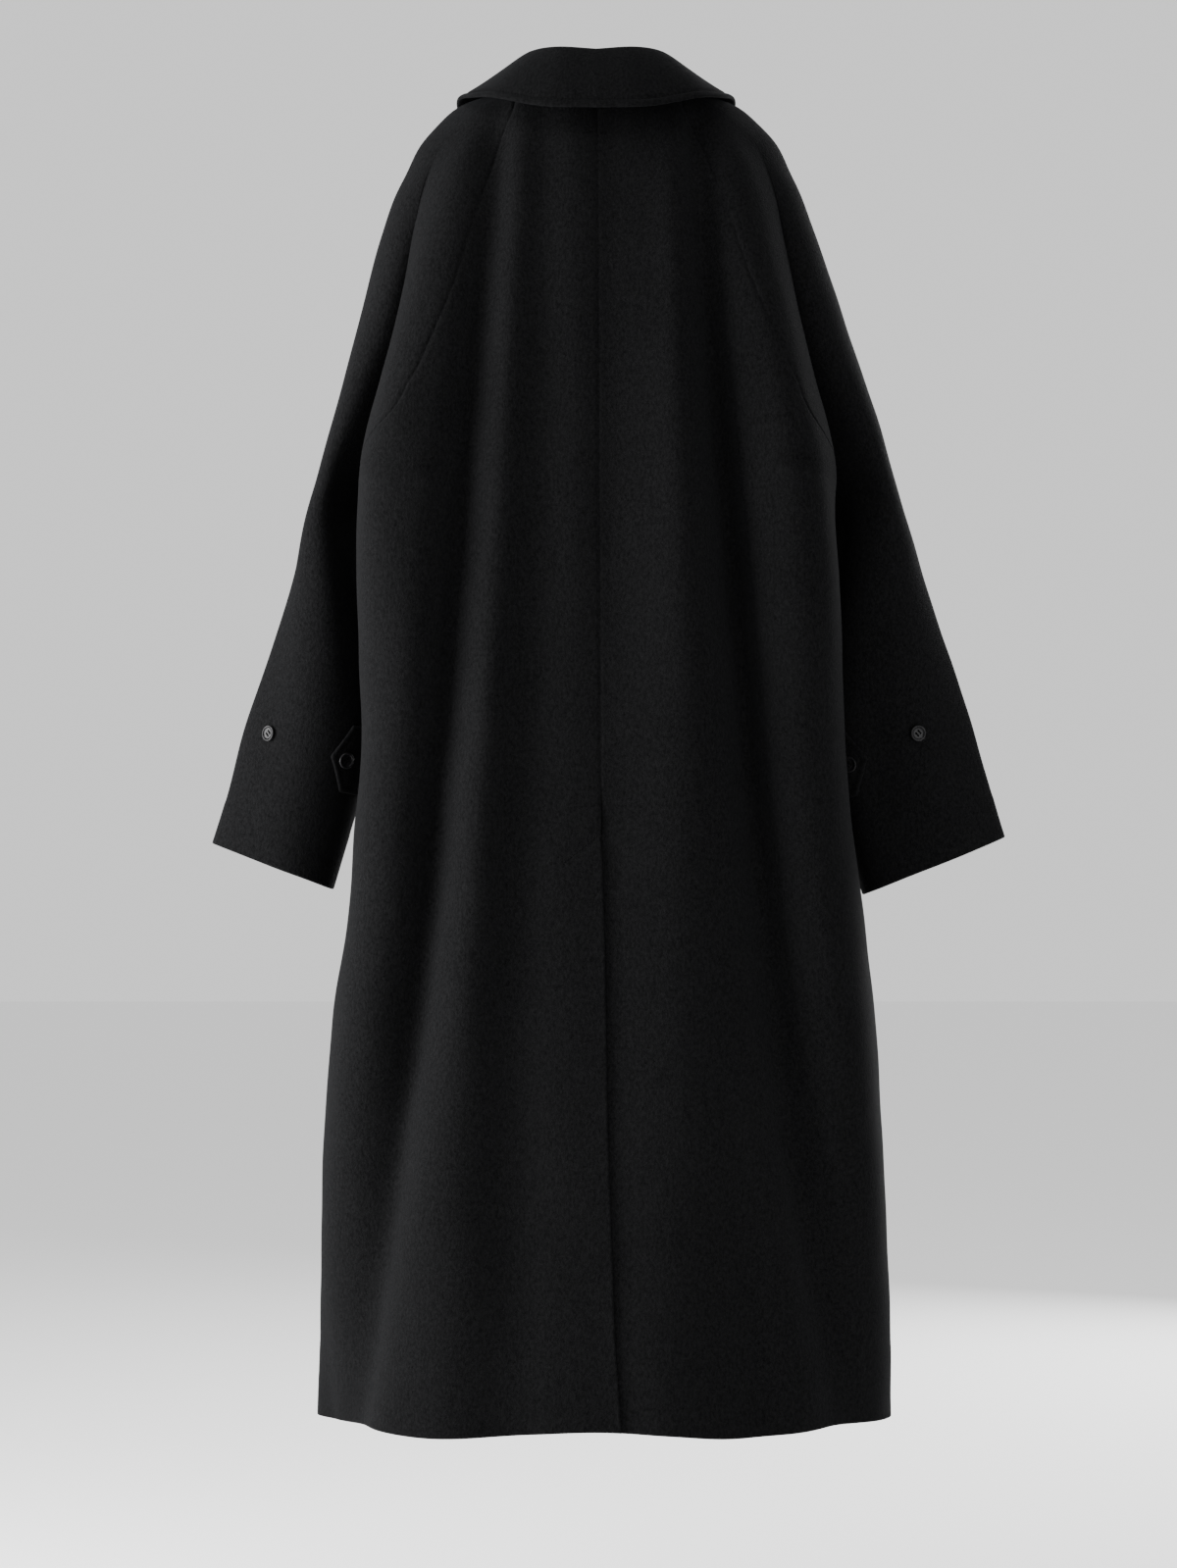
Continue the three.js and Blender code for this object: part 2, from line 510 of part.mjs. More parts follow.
// Sleeve panels: the wing from the raglan seam to the fold, then on to the overarm line and down to the cuff
function sleevePanel(part, side, wingCount, count) {
  const main = [];
  const wing = [];
  const name = side < 0 ? 'left' : 'right';
  UPPER.forEach((along, i) => {
    const row = rows.upper[i][part];
    const fold = row.d[side > 0 ? 3 * SAMPLES : SAMPLES];
    const end = side > 0 ? row.d[4 * SAMPLES] : 0;
    const gap = column(RAGLAN, part, along);
    const line = [];
    for (let j = 0; j <= count; j += 1) line.push(sample(row, fold + (end - fold) * (j / count)));
    main.push(line);
    const extra = [];
    if (i > 0 && i < UPPER.length - 1) {
      for (let j = 0; j < wingCount; j += 1) extra.push(sample(row, fold - side * gap * (1 - j / wingCount)));
    }
    wing.push(extra);
  });
  SLEEVE_DOWN.forEach((along, i) => {
    const row = rows[name][i][part];
    const last = row.d[row.d.length - 1];
    const line = [];
    for (let j = 0; j <= count; j += 1) line.push(sample(row, side > 0 ? last * j / count : last * (1 - j / count)));
    main.push(line);
  });
  const corner = UPPER.length - 1;
  const sign = part === 'back' ? -1 : 1;
  drawBackColumn(main, count, count - 1);
  const lower = main.slice(corner);
  drawBackColumn(lower, 0, 1, 0);
  lower.forEach((line, i) => { main[corner + i] = line; });
  const u = main[corner][0];
  main[corner][0] = { p: add(u.p, [0.2 * side, 0.2 * sign, 0]), n: u.n };
  const top = main[0][0];
  main[0][0] = drawBack(top, top.p, main[1][0].p, main[0][1].p);
  const seam = wing.map((line, i) => (line.length ? line[0] : main[i][0]));
  for (let i = 1; i < corner; i += 1) {
    wing[i][0] = drawBack(seam[i], seam[i - 1].p, seam[i + 1].p, wing[i][1].p);
  }
  const vertices = main.flat();
  const numbers = main.map((line, i) => line.map((v, j) => i * (count + 1) + j));
  const wingNumbers = wing.map((line, i) => {
    const list = [];
    for (let j = 0; j < wingCount; j += 1) {
      if (line.length) {
        list.push(vertices.length);
        vertices.push(line[j]);
      } else {
        list.push(numbers[i][0]);
      }
    }
    list.push(numbers[i][0]);
    return list;
  });
  const faces = [...gridFaces(numbers, vertices), ...gridFaces(wingNumbers, vertices)];
  return wall(vertices, faces, WALL);
}

// Neck ring from the middle of the back (0) to the middle of the front (1) on one side, with the way up the cloth
function ring(side, share) {
  const { back, front } = rows.upper[0];
  const b = back.d[2 * SAMPLES];
  const lengthBack = side > 0 ? back.d[4 * SAMPLES] - b : b;
  const f = front.d[2 * SAMPLES];
  const lengthFront = side > 0 ? front.d[4 * SAMPLES] - f : f;
  const at = share * (lengthBack + lengthFront);
  return at <= lengthBack ? sample(back, b + side * at)
    : sample(front, f + side * (lengthBack + lengthFront - at));
}

// Collar: top of the stand, and outer edge of the leaf, for shares of the way round from back to front
const COLLAR = table(['along', 'topX', 'topY', 'topZ', 'edgeX', 'edgeY', 'edgeZ', 'rise', 'pull'], [
  [0, 0, -63, 21, 0, -113, -33, 15, 0.16],
  [0.15, 32, -57, 24, 50, -108, -31, 15, 0.18],
  [0.3, 53, -37, 24, 98, -79, -19, 14, 0.26],
  [0.38, 58, -20, 24, 116, -48, -15, 13, 0.34],
  [0.46, 60, 0, 22, 126, -8, -11, 13, 0.38],
  [0.6, 57, 32, 11, 126, 42, -23, 13, 0.36],
  [0.75, 46, 58, -10, 110, 86, -62, 13, 0.26],
  [0.88, 25, 73, -35, 84, 106, -92, 13, 0.18],
  [1, 3, 79, -50, 58, 117, -118, 12, 0.16]]);
const STAND_SHIFT = -2;

function collarFrame(side, share) {
  const get = (name) => column(COLLAR, name, share);
  return {
    top: [side * get('topX') + STAND_SHIFT, get('topY'), get('topZ')],
    edge: [side * get('edgeX') + STAND_SHIFT, get('edgeY'), get('edgeZ')],
    rise: get('rise'),
    pull: get('pull'),
  };
}

// A sheet from a rectangle of points, with normals from its neighbours
function withNormals(grid, outward) {
  return grid.map((line, i) => line.map((p, j) => {
    const a = grid[Math.max(0, i - 1)][j];
    const b = grid[Math.min(grid.length - 1, i + 1)][j];
    const c = line[Math.max(0, j - 1)];
    const d = line[Math.min(line.length - 1, j + 1)];
    const n = unit(cross(sub(b, a), sub(d, c)));
    return { p, n: n.map((v) => v * outward) };
  }));
}

function shares(count) {
  const out = [];
  for (let k = -count; k <= count; k += 1) out.push([k < 0 ? -1 : 1, Math.abs(k) / count]);
  return out;
}

function collarStand() {
  const up = [0, 0, 1];
  const grid = shares(15).map(([side, raw]) => {
    const share = Math.min(0.992, raw);
    const foot = ring(side, share);
    const { top } = collarFrame(side, share);
    const ahead = ring(side, Math.min(1, share + 0.01)).p;
    const behind = ring(side, Math.max(0, share - 0.01)).p;
    let climb = unit(cross(sub(ahead, behind), foot.n));
    if (dot(climb, sub(top, foot.p)) < 0) climb = climb.map((v) => -v);
    const start = add(foot.p, climb, 0.35 + step((share - 0.85) / 0.15));
    const points = cubic(start, add(start, climb, 7), add(top, up, -9), top, 4);
    return { points, n: foot.n };
  });
  const sheet = withNormals(grid.map((g) => g.points), 1);
  sheet.forEach((line, i) => { line[0].n = grid[i].n; });
  const vertices = sheet.flat();
  const numbers = sheet.map((line, i) => line.map((v, j) => i * line.length + j));
  return wall(vertices, gridFaces(numbers, vertices), 2.2);
}

function collarLeaf() {
  const up = [0, 0, 1];
  const grid = shares(17).map(([side, raw]) => {
    const share = Math.min(0.995, raw);
    const { top, edge, rise, pull } = collarFrame(side, share);
    const out = unit([edge[0] - top[0], edge[1] - top[1], 0]);
    const start = add(top, up, 0.6);
    const p1 = add(start, up, rise);
    const p2 = add(add(edge, up, (0.78 - pull) * (top[2] - edge[2])), out, -pull * size(sub(edge, top)));
    const fine = cubic(start, p1, p2, edge, 24);
    return [0, 1, 3, 5, 8, 12, 16, 20, 24].map((k) => fine[k]);
  });
  const sheet = withNormals(grid, -1);
  const vertices = sheet.flat();
  const numbers = sheet.map((line, i) => line.map((v, j) => i * line.length + j));
  return wall(vertices, gridFaces(numbers, vertices), 3);
}

// A place on the sleeve below the armpit: along it, and round it from the underarm line (back is positive)
function onSleeve(side, along, round) {
  const both = level(side < 0 ? 'left' : 'right', along);
  const row = round >= 0 ? both.back : both.front;
  const last = row.d[row.d.length - 1];
  return sample(row, side > 0 ? Math.abs(round) : last - Math.abs(round));
}

const STRAP = { along: 673, halfWidth: 27.5, tipLeft: 66.5, tipRight: 68.5, point: 17, tail: -62, wall: 3, clear: 0.7 };

function cuffStrap(side) {
  const tip = side < 0 ? STRAP.tipLeft : STRAP.tipRight;
  const grid = [-1, -0.5, 0, 0.5, 1].map((t) => {
    const end = tip - STRAP.point * Math.abs(t);
    const along = STRAP.along + STRAP.halfWidth * t;
    const { back, front } = level(side < 0 ? 'left' : 'right', along);
    const cellBack = back.d[back.d.length - 1] / 10;
    const cellFront = front.d[front.d.length - 1] / 10;
    const crest = 2 * cellBack;
    const past = [1 / 4, 1 / 2, 3 / 4, 1].map((share) => crest + (end - crest) * share);
    const places = [STRAP.tail, -3 * cellFront, -2 * cellFront, -cellFront, 0, cellBack, crest, ...past];
    return places.map((round) => {
      const v = onSleeve(side, along, round);
      return { p: add(v.p, v.n, FACE + STRAP.clear + STRAP.wall / 2), n: v.n };
    });
  });
  const vertices = grid.flat();
  const numbers = grid.map((line, i) => line.map((v, j) => i * line.length + j));
  return wall(vertices, gridFaces(numbers, vertices), STRAP.wall);
}

// A closed geometry as a solid that others can be cut from
function solid(geometry) {
  geometry.deleteAttribute('normal');
  geometry.deleteAttribute('uv');
  const merged = mergeVertices(geometry, 1e-4);
  return new wasm.Manifold(new wasm.Mesh({
    numProp: 3, vertProperties: merged.attributes.position.array, triVerts: new Uint32Array(merged.index.array) }));
}

// A sew-through button with a raised rim and four holes, flat side on its base at z = 0
const BUTTON = { sides: 16, holeSides: 5, holeRadius: 0.12, holePlace: 0.3 };
function button(radius, height) {
  const outline = [[0, 0], [0.8, 0], [1, 0.45], [0.97, 0.85], [0.88, 1], [0.74, 0.92], [0.66, 0.62], [0, 0.6]];
  const profile = outline.map(([across, up]) => new THREE.Vector2(across * radius, up * height));
  let body = solid(new THREE.LatheGeometry(profile, BUTTON.sides));
  const holeRadius = BUTTON.holeRadius * radius;
  for (const [x, y] of [[1, 0], [0, 1], [-1, 0], [0, -1]]) {
    const hole = new THREE.CylinderGeometry(holeRadius, holeRadius, height * 3, BUTTON.holeSides);
    hole.translate(x * radius * BUTTON.holePlace, height / 2, y * radius * BUTTON.holePlace);
    body = body.subtract(solid(hole));
  }
  const mesh = body.getMesh();
  const geometry = new THREE.BufferGeometry();
  geometry.setAttribute('position', new THREE.Float32BufferAttribute(mesh.vertProperties, 3));
  geometry.setIndex(Array.from(mesh.triVerts));
  geometry.rotateX(Math.PI / 2);
  geometry.computeVertexNormals();
  return geometry;
}

// Stands a button on a place, its face along the normal there
function seated(place, lift, radius, height) {
  const z = new THREE.Vector3(...place.n);
  const x = new THREE.Vector3(0, 0, 1).cross(z).normalize();
  const y = z.clone().cross(x);
  const base = add(place.p, place.n, lift);
  const turn = new THREE.Matrix4().makeBasis(x, y, z).setPosition(...base);
  return button(radius, height).applyMatrix4(turn);
}

const coat = new THREE.Group();
coat.name = 'balmacaan_coat';
const colours = { cloth: 0x17181b, button: 0x121214 };
function piece(name, geometry, kind) {
  const material = new THREE.MeshStandardMaterial({
    color: colours[kind], roughness: kind === 'button' ? 0.25 : 0.9, side: THREE.DoubleSide });
  const mesh = new THREE.Mesh(geometry, material);
  mesh.name = name;
  coat.add(mesh);
}

piece('back_left', bodyPanel('back', -1, 17), 'cloth');
piece('back_right', bodyPanel('back', 1, 17), 'cloth');
piece('front_left', bodyPanel('front', -1, 12), 'cloth');
piece('front_right', bodyPanel('front', 1, 12), 'cloth');
piece('sleeve_back_left', sleevePanel('back', -1, 4, 10), 'cloth');
piece('sleeve_back_right', sleevePanel('back', 1, 4, 10), 'cloth');
piece('sleeve_front_left', sleevePanel('front', -1, 3, 10), 'cloth');
piece('sleeve_front_right', sleevePanel('front', 1, 3, 10), 'cloth');
piece('collar_stand', collarStand(), 'cloth');
piece('collar_leaf', collarLeaf(), 'cloth');
piece('cuff_strap_left', cuffStrap(-1), 'cloth');
piece('cuff_strap_right', cuffStrap(1), 'cloth');

const SLEEVE_BUTTON = { radius: 7.5, height: 2.6, under: 0.35 };
const onStrap = FACE + STRAP.clear + STRAP.wall + SLEEVE_BUTTON.under;
const onCloth = FACE + SLEEVE_BUTTON.under;
for (const [name, side, along, round, lift] of [
  ['strap_button_left', -1, 675, 52, onStrap], ['strap_button_right', 1, 675, 52, onStrap],
  ['cuff_button_left', -1, 662.5, 131.5, onCloth], ['cuff_button_right', 1, 660, 117.5, onCloth]]) {
  piece(name, seated(onSleeve(side, along, round), lift, SLEEVE_BUTTON.radius, SLEEVE_BUTTON.height), 'button');
}

const FRONT_BUTTON = { radius: 11, height: 3.2, under: 0.35, levels: [34, 160, 285, 410, 535] };
FRONT_BUTTON.levels.forEach((along, i) => {
  const row = along <= ARMPIT ? level('upper', along).front : level('body', along).front;
  const place = sample(row, row.d[along <= ARMPIT ? 2 * SAMPLES : SAMPLES]);
  const lift = VENT_STEP + FACE + FRONT_BUTTON.under;
  piece(`front_button_${i + 1}`, seated(place, lift, FRONT_BUTTON.radius, FRONT_BUTTON.height), 'button');
});

export default coat;
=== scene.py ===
import math

import bpy
import numpy as np
from mathutils import Matrix, Vector


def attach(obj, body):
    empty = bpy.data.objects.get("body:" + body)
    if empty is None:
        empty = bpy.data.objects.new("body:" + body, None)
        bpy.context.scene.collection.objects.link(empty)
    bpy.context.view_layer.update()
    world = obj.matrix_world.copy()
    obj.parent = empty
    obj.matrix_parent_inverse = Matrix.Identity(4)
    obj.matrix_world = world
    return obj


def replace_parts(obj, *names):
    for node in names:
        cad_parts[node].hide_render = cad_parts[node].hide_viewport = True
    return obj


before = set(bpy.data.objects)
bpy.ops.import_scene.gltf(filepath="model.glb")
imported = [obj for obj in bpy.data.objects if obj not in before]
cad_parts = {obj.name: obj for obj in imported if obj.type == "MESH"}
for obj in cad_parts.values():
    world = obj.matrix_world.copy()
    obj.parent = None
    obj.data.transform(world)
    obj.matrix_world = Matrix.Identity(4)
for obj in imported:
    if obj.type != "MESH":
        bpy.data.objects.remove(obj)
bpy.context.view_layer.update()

MM = 0.001

# Named sizes
WALL = 2.5
FACE = WALL / 2
SEAM_GAP = -0.1        # the dressed panels meet, so no light comes through a seam
ARMPIT = 430.0
CUFF = 773.0
HEM = 1282.0
VENT_TOP = 752.0
VENT_STEP = 1.7
FRONT_LAP = 28.0
LEAN = {"most": 10.0, "below": 100, "over": 300}   # how far the sleeves' outer edges swing to one side
CUFF_DROP = {-1: {"inner": 0.0, "outer": 6.0}, 1: {"inner": 5.0, "outer": 0.0}}
LAYERS = {"front": 62.0, "front_ease": 30.0, "over": 70.0, "over_ease": 32.0, "under": 36.0,
          "above": 50.0, "above_ease": 48.0}
HAND = {-1: "left", 1: "right"}
OUT = {"back": -1, "front": 1}
SAMPLES = 64           # points on each quarter of a section
ROW = 5.0              # a mesh row each so many millimetres down the cloth
EDGE_CELLS = np.array([0.35, 0.45, 0.6, 0.8, 1.1, 1.6, 2.4, 3.2])   # columns close to a seam or an edge
HEM_CELLS = EDGE_CELLS[:6]   # rows close to a hem
BODY_CELLS = {"back": 66, "front": 60}
SLEEVE_CELLS = 40
WING_CELLS = 10        # columns of the sleeve between the fold and its raglan seam
CORNER_STEP = 0.2      # how far the corner at the armpit stands out of its neighbours' way
SLOPE = 0.35           # share of a section's fall taken by its inner curve


def table(columns, rows):
    return {name: np.array([row[i] for row in rows], float) for i, name in enumerate(columns)}


def blend(knots, values, at):
    """A smooth curve through the values, each slope taken from the two neighbours."""
    knots, values, at = np.asarray(knots, float), np.asarray(values, float), np.asarray(at, float)
    slopes = np.gradient(values, knots)
    i = np.clip(np.searchsorted(knots, at, side="right") - 1, 0, len(knots) - 2)
    span = knots[i + 1] - knots[i]
    t = np.clip((at - knots[i]) / span, 0, 1)
    return ((1 + 2 * t) * (1 - t) ** 2 * values[i] + t * (1 - t) ** 2 * span * slopes[i]
            + t * t * (3 - 2 * t) * values[i + 1] + t * t * (t - 1) * span * slopes[i + 1])


def col(t, name, at):
    return blend(t["along"], t[name], at)


def step(t):
    t = np.clip(t, 0, 1)
    return t * t * (3 - 2 * t)


def bell(distance, half):
    return np.exp(-0.5 * (distance / half) ** 2)


def unit(v):
    return v / np.maximum(np.linalg.norm(v, axis=-1, keepdims=True), 1e-9)


def along_line(at, knots, values):
    """Points between the knots of a line, or directions between its normals."""
    return np.stack([np.interp(at, knots, values[:, k]) for k in range(3)], -1)


# Line over the shoulder and down the outside of the sleeve
OVERARM = table(("along", "x", "y", "z"), [
    (0, 77, 2, 0), (24, 100, 3, -8), (56, 130, 4, -20), (81, 148, 5, -36), (103, 162, 6, -52),
    (135, 176, 8, -81), (155, 185, 9, -99), (193, 198, 12, -135), (250, 215, 17, -189),
    (298, 229, 22, -235), (344, 242, 27, -279), (387, 254, 32, -320), (430, 265, 38, -362),
    (500, 285, 42, -429), (580, 310, 46, -506), (660, 336, 49, -582), (720, 352, 50, -640),
    (773, 367, 51, -688)])
# Fold between body and sleeve, with the way the cloth turns into and out of it
CREASE = ("along", "x", "y", "z", "turn_in", "turn_out", "reach_in", "reach_out", "reach_over")
BACK_CREASE = table(CREASE, [
    (0, 66, -37, -4, 57, -57, 26, 13, 13),
    (24, 80, -42, -11, 53, -53, 32, 17, 15),
    (56, 103, -45, -22, 49, -49, 38, 20, 17),
    (81, 122, -46, -38, 46, -46, 42, 21, 18),
    (103, 138, -47, -54, 46, -44, 44, 20, 18),
    (135, 152, -50, -81, 66, -34, 50, 18, 20),
    (155, 158, -50, -99, 73, -20, 57, 18, 22),
    (193, 166, -50, -135, 82, 5, 68, 20, 28),
    (250, 176, -46, -189, 88, 30, 92, 26, 38),
    (298, 185, -38, -235, 92, 38, 112, 32, 48),
    (344, 195, -24, -279, 95, 44, 140, 42, 58),
    (387, 203, -2, -320, 98, 46, 176, 50, 68),
    (412, 206, 16, -345, 99, 46, 200, 56, 76)])
FRONT_CREASE = table(CREASE, [
    (0, 66, 36, -9, 55, -55, 26, 13, 12),
    (24, 80, 43, -17, 52, -52, 34, 17, 15),
    (56, 100, 50, -30, 49, -49, 42, 22, 20),
    (81, 116, 56, -44, 47, -47, 48, 26, 24),
    (103, 130, 62, -58, 46, -44, 50, 28, 28),
    (135, 144, 68, -84, 48, -34, 50, 30, 34),
    (155, 151, 72, -101, 50, -22, 50, 32, 40),
    (193, 158, 78, -136, 54, 0, 48, 38, 53),
    (250, 166, 84, -189, 57, 23, 44, 46, 70),
    (298, 174, 82, -235, 60, 36, 43, 56, 83),
    (344, 183, 73, -279, 62, 48, 45, 70, 93),
    (387, 194, 56, -320, 64, 58, 52, 86, 101),
    (412, 201, 42, -345, 65, 64, 60, 97, 105)])
# Side seam below the armpit
SIDE = table(("along", "x_left", "x_right", "y", "z", "turn_back", "reach_back", "turn_front",
              "reach_front"), [
    (430, 206, 206, 30, -362, 99, 218, 66, 66),
    (450, 204, 203, 30, -382, 99, 222, 64, 64),
    (511, 203, 200, 27, -443, 98, 222, 60, 62),
    (592, 201, 198, 23, -524, 97, 218, 58, 60),
    (673, 201, 200, 17, -605, 96, 208, 58, 62),
    (754, 210, 212, 13, -686, 95, 194, 64, 72),
    (835, 220, 231, 8, -767, 93, 178, 74, 84),
    (920, 236, 244, 3, -852, 92, 160, 84, 90),
    (1067, 249, 255, 0, -1002, 90, 140, 89, 96),
    (1282, 256, 265, 0, -1219, 90, 126, 90, 104)])
# Underarm line of the sleeve
INNER = table(("along", "x", "y", "z", "turn_back", "reach_back", "over_back", "turn_front", "reach_front",
               "over_front"), [
    (430, 206, 30, -362, 46, 60, 80, 72, 104, 107),
    (450, 213, 33, -382, 53, 72, 66, 78, 104, 107),
    (500, 213, 37, -432, 68, 98, 42, 84, 102, 102),
    (580, 206, 43, -517, 78, 116, 26, 88, 94, 92),
    (660, 211, 48, -602, 87, 110, 24, 90, 80, 78),
    (720, 228, 51, -672, 93, 96, 26, 90, 68, 66),
    (773, 247, 52, -736, 95, 84, 28, 90, 58, 58)])
# Middle of the back and of the front
CENTRE = table(("along", "back_y", "back_z", "back_reach", "front_y", "front_z", "front_reach"), [
    (0, -72, -12, 27, 80, -76, 27), (24, -78, -22, 34, 87, -84, 34), (56, -86, -36, 44, 94, -97, 44),
    (81, -92, -48, 52, 99, -108, 54), (103, -98, -62, 60, 103, -120, 62), (135, -107, -86, 72, 108, -140, 74),
    (155, -112, -103, 82, 111, -155, 80), (193, -120, -137, 96, 115, -182, 88),
    (250, -129, -190, 114, 119, -225, 96), (298, -134, -235, 126, 122, -262, 100),
    (344, -138, -279, 136, 124, -297, 104), (387, -140, -320, 146, 125, -331, 108),
    (430, -141, -362, 156, 126, -366, 112), (592, -142, -524, 160, 128, -524, 112),
    (754, -146, -686, 164, 131, -686, 120), (920, -154, -852, 168, 138, -852, 134),
    (1067, -165, -999, 172, 148, -999, 146), (1282, -181, -1207, 176, 164, -1212, 158)])
# How far before the fold the raglan seam lies
RAGLAN = table(("along", "back", "front"), [
    (0, 0, 0), (24, 10, 8), (56, 35, 22), (81, 47, 32), (103, 58, 38), (135, 73, 42), (155, 79, 44),
    (193, 87, 44), (250, 100, 44), (298, 108, 44), (344, 119, 40), (387, 121, 32), (412, 78, 18),
    (430, 0, 0)])
# Middle seam of the back, and the edges of the vent's upper and lower layer
MIDDLE = table(("along", "over", "under"), [
    (0, -2, -2), (430, 0, 0), (640, 1.5, 1.5), (752, 2, 2), (776, 3.2, -30), (850, 5.5, -33),
    (1010, 8, -31), (1100, 11, -28), (1200, 14.5, -25), (1282, 20, -22)])
# How much lower the hem hangs at each place across, fading out above it
HEM_WAVE = table(("x", "drop"), [
    (-256, -2), (-215, 1), (-140, 8), (-60, 5), (0, 3), (60, 6), (115, 9), (165, 6), (215, 0), (265, -3)])
WAVE_TOP = 1040.0
# Long soft folds of the body: place across, lift and half width at four heights
FOLD_DOWN = (60, 360, 780, 1214)
FOLDS = {
    "back": [
        {"x": (-92, -118, -160, -236), "lift": (-10, -28, -30, -24), "half": (12, 17, 19, 22)},
        {"x": (-72, -93, -114, -136), "lift": (3, 9, 11, 14), "half": (12, 13, 20, 38)},
        {"x": (-50, -52, -72, -84), "lift": (-3, -6, -6, -5), "half": (12, 15, 18, 22)},
        {"x": (-20, -18, -18, -14), "lift": (2, 3, 3, 3), "half": (16, 18, 24, 30)},
        {"x": (8, 9, 10, 14), "lift": (-2, -3, -0.8, -1), "half": (12, 14, 22, 24)},
        {"x": (74, 77, 74, 62), "lift": (5, 13, 12, 10), "half": (15, 24, 36, 32)},
        {"x": (88, 110, 155, 230), "lift": (-13, -38, -34, -18), "half": (11, 14, 19, 20)},
        {"x": (90, 98, 106, 148), "lift": (0, 0, -2, -8), "half": (16, 16, 16, 18)},
        {"x": (118, 174, 208, 248), "lift": (6, 17, 18, 10), "half": (14, 17, 22, 20)},
        {"x": (-118, -192, -212, -262), "lift": (2, 8, 8, 4), "half": (12, 14, 18, 20)},
    ],
    "front": [
        {"x": (-92, -118, -140, -190), "lift": (-2, -8, -10, -10), "half": (14, 20, 26, 28)},
        {"x": (-60, -76, -96, -140), "lift": (1, 4, 6, 7), "half": (16, 22, 28, 34)},
        {"x": (92, 122, 150, 196), "lift": (-2, -9, -9, -11), "half": (14, 22, 26, 28)},
        {"x": (58, 80, 104, 150), "lift": (1, 4, 5, 8), "half": (16, 24, 28, 34)},
    ],
}
# Soft folds of the sleeves: from and to along the sleeve, share across at each end, lift and half width
SLEEVE_FOLD = ("start", "stop", "share0", "share1", "lift", "half")
SLEEVE_FOLDS = {
    ("back", -1): table(SLEEVE_FOLD, [(330, 800, 0.74, 0.52, 4, 18), (420, 830, 0.40, 0.26, -4, 15)]),
    ("back", 1): table(SLEEVE_FOLD, [(380, 800, 0.58, 0.34, -5, 17), (380, 860, 0.30, 0.14, 3, 14),
                                     (540, 860, 0.66, 0.62, 3, 18)]),
    ("front", -1): table(SLEEVE_FOLD, [(400, 760, 0.5, 0.4, -4, 18)]),
    ("front", 1): table(SLEEVE_FOLD, [(420, 780, 0.45, 0.5, -4, 18)]),
}


def edge_lines(part, crease):
    """The fold and the seam below it joined as one line, for the body and for the sleeve."""
    def joined(seam, *names):
        return {new: np.concatenate([crease[above], seam[below]]) for new, above, below in names}
    shared = [(name, name, name) for name in ("along", "y", "z")]
    return (
        joined(SIDE, *shared, ("x_left", "x", "x_left"), ("x_right", "x", "x_right"),
               ("turn", "turn_in", "turn_" + part), ("reach", "reach_in", "reach_" + part)),
        joined(INNER, *shared, ("x", "x", "x"), ("turn", "turn_out", "turn_" + part),
               ("reach", "reach_out", "reach_" + part), ("over", "reach_over", "over_" + part)))


EDGES = {"back": edge_lines("back", BACK_CREASE), "front": edge_lines("front", FRONT_CREASE)}


# Sections of the coat
def cubic(p0, p1, p2, p3, shares):
    s = np.asarray(shares, float)[None, :, None]
    return ((1 - s) ** 3 * p0[:, None] + 3 * s * (1 - s) ** 2 * p1[:, None]
            + 3 * s * s * (1 - s) * p2[:, None] + s ** 3 * p3[:, None])


QUARTER = np.linspace(0, 1, SAMPLES + 1)


def heading(degrees, sign):
    a = np.radians(degrees)
    return np.stack([np.cos(a), sign * np.sin(a), np.zeros_like(a)], -1)


def body_section(part, side, at):
    """Half body sections, from the middle to the fold or the side seam."""
    t = EDGES[part][0]
    end = np.stack([col(t, name, at) for name in ("x_" + HAND[side], "y", "z")], -1)
    start = np.stack([0 * at, col(CENTRE, part + "_y", at), col(CENTRE, part + "_z", at)], -1)
    p1 = start + np.stack([col(CENTRE, part + "_reach", at), 0 * at, 0 * at], -1)
    p2 = end - heading(col(t, "turn", at), -OUT[part]) * col(t, "reach", at)[:, None]
    p2[:, 2] += SLOPE * (start - end)[:, 2]
    row = cubic(start, p1, p2, end, QUARTER)
    row[..., 0] *= side
    fade = step((at - WAVE_TOP) / (HEM - WAVE_TOP))[:, None]
    row[..., 2] -= fade * blend(HEM_WAVE["x"], HEM_WAVE["drop"], row[..., 0])
    return row


def sleeve_section(part, side, at):
    """Half sleeve sections, from the fold or the underarm line to the overarm line."""
    sign = OUT[part]
    t = EDGES[part][1]
    start = np.stack([col(t, k, at) for k in "xyz"], -1)
    end = np.stack([col(OVERARM, k, at) for k in "xyz"], -1)
    p1 = start + heading(col(t, "turn", at), sign) * col(t, "reach", at)[:, None]
    p1[:, 2] += SLOPE * (end - start)[:, 2] * step((ARMPIT + 60 - at) / 120)
    p2 = end + np.stack([0 * at, sign * col(t, "over", at), 0 * at], -1)
    row = cubic(start, p1, p2, end, QUARTER)
    lean = LEAN["most"] * step((-row[..., 2] - LEAN["below"]) / LEAN["over"])
    row[..., 0] = side * row[..., 0] + lean * QUARTER
    drop = CUFF_DROP[side]
    low = step((at - ARMPIT) / (CUFF - ARMPIT))[:, None]
    row[..., 2] -= low * (drop["inner"] + (drop["outer"] - drop["inner"]) * QUARTER)
    return row


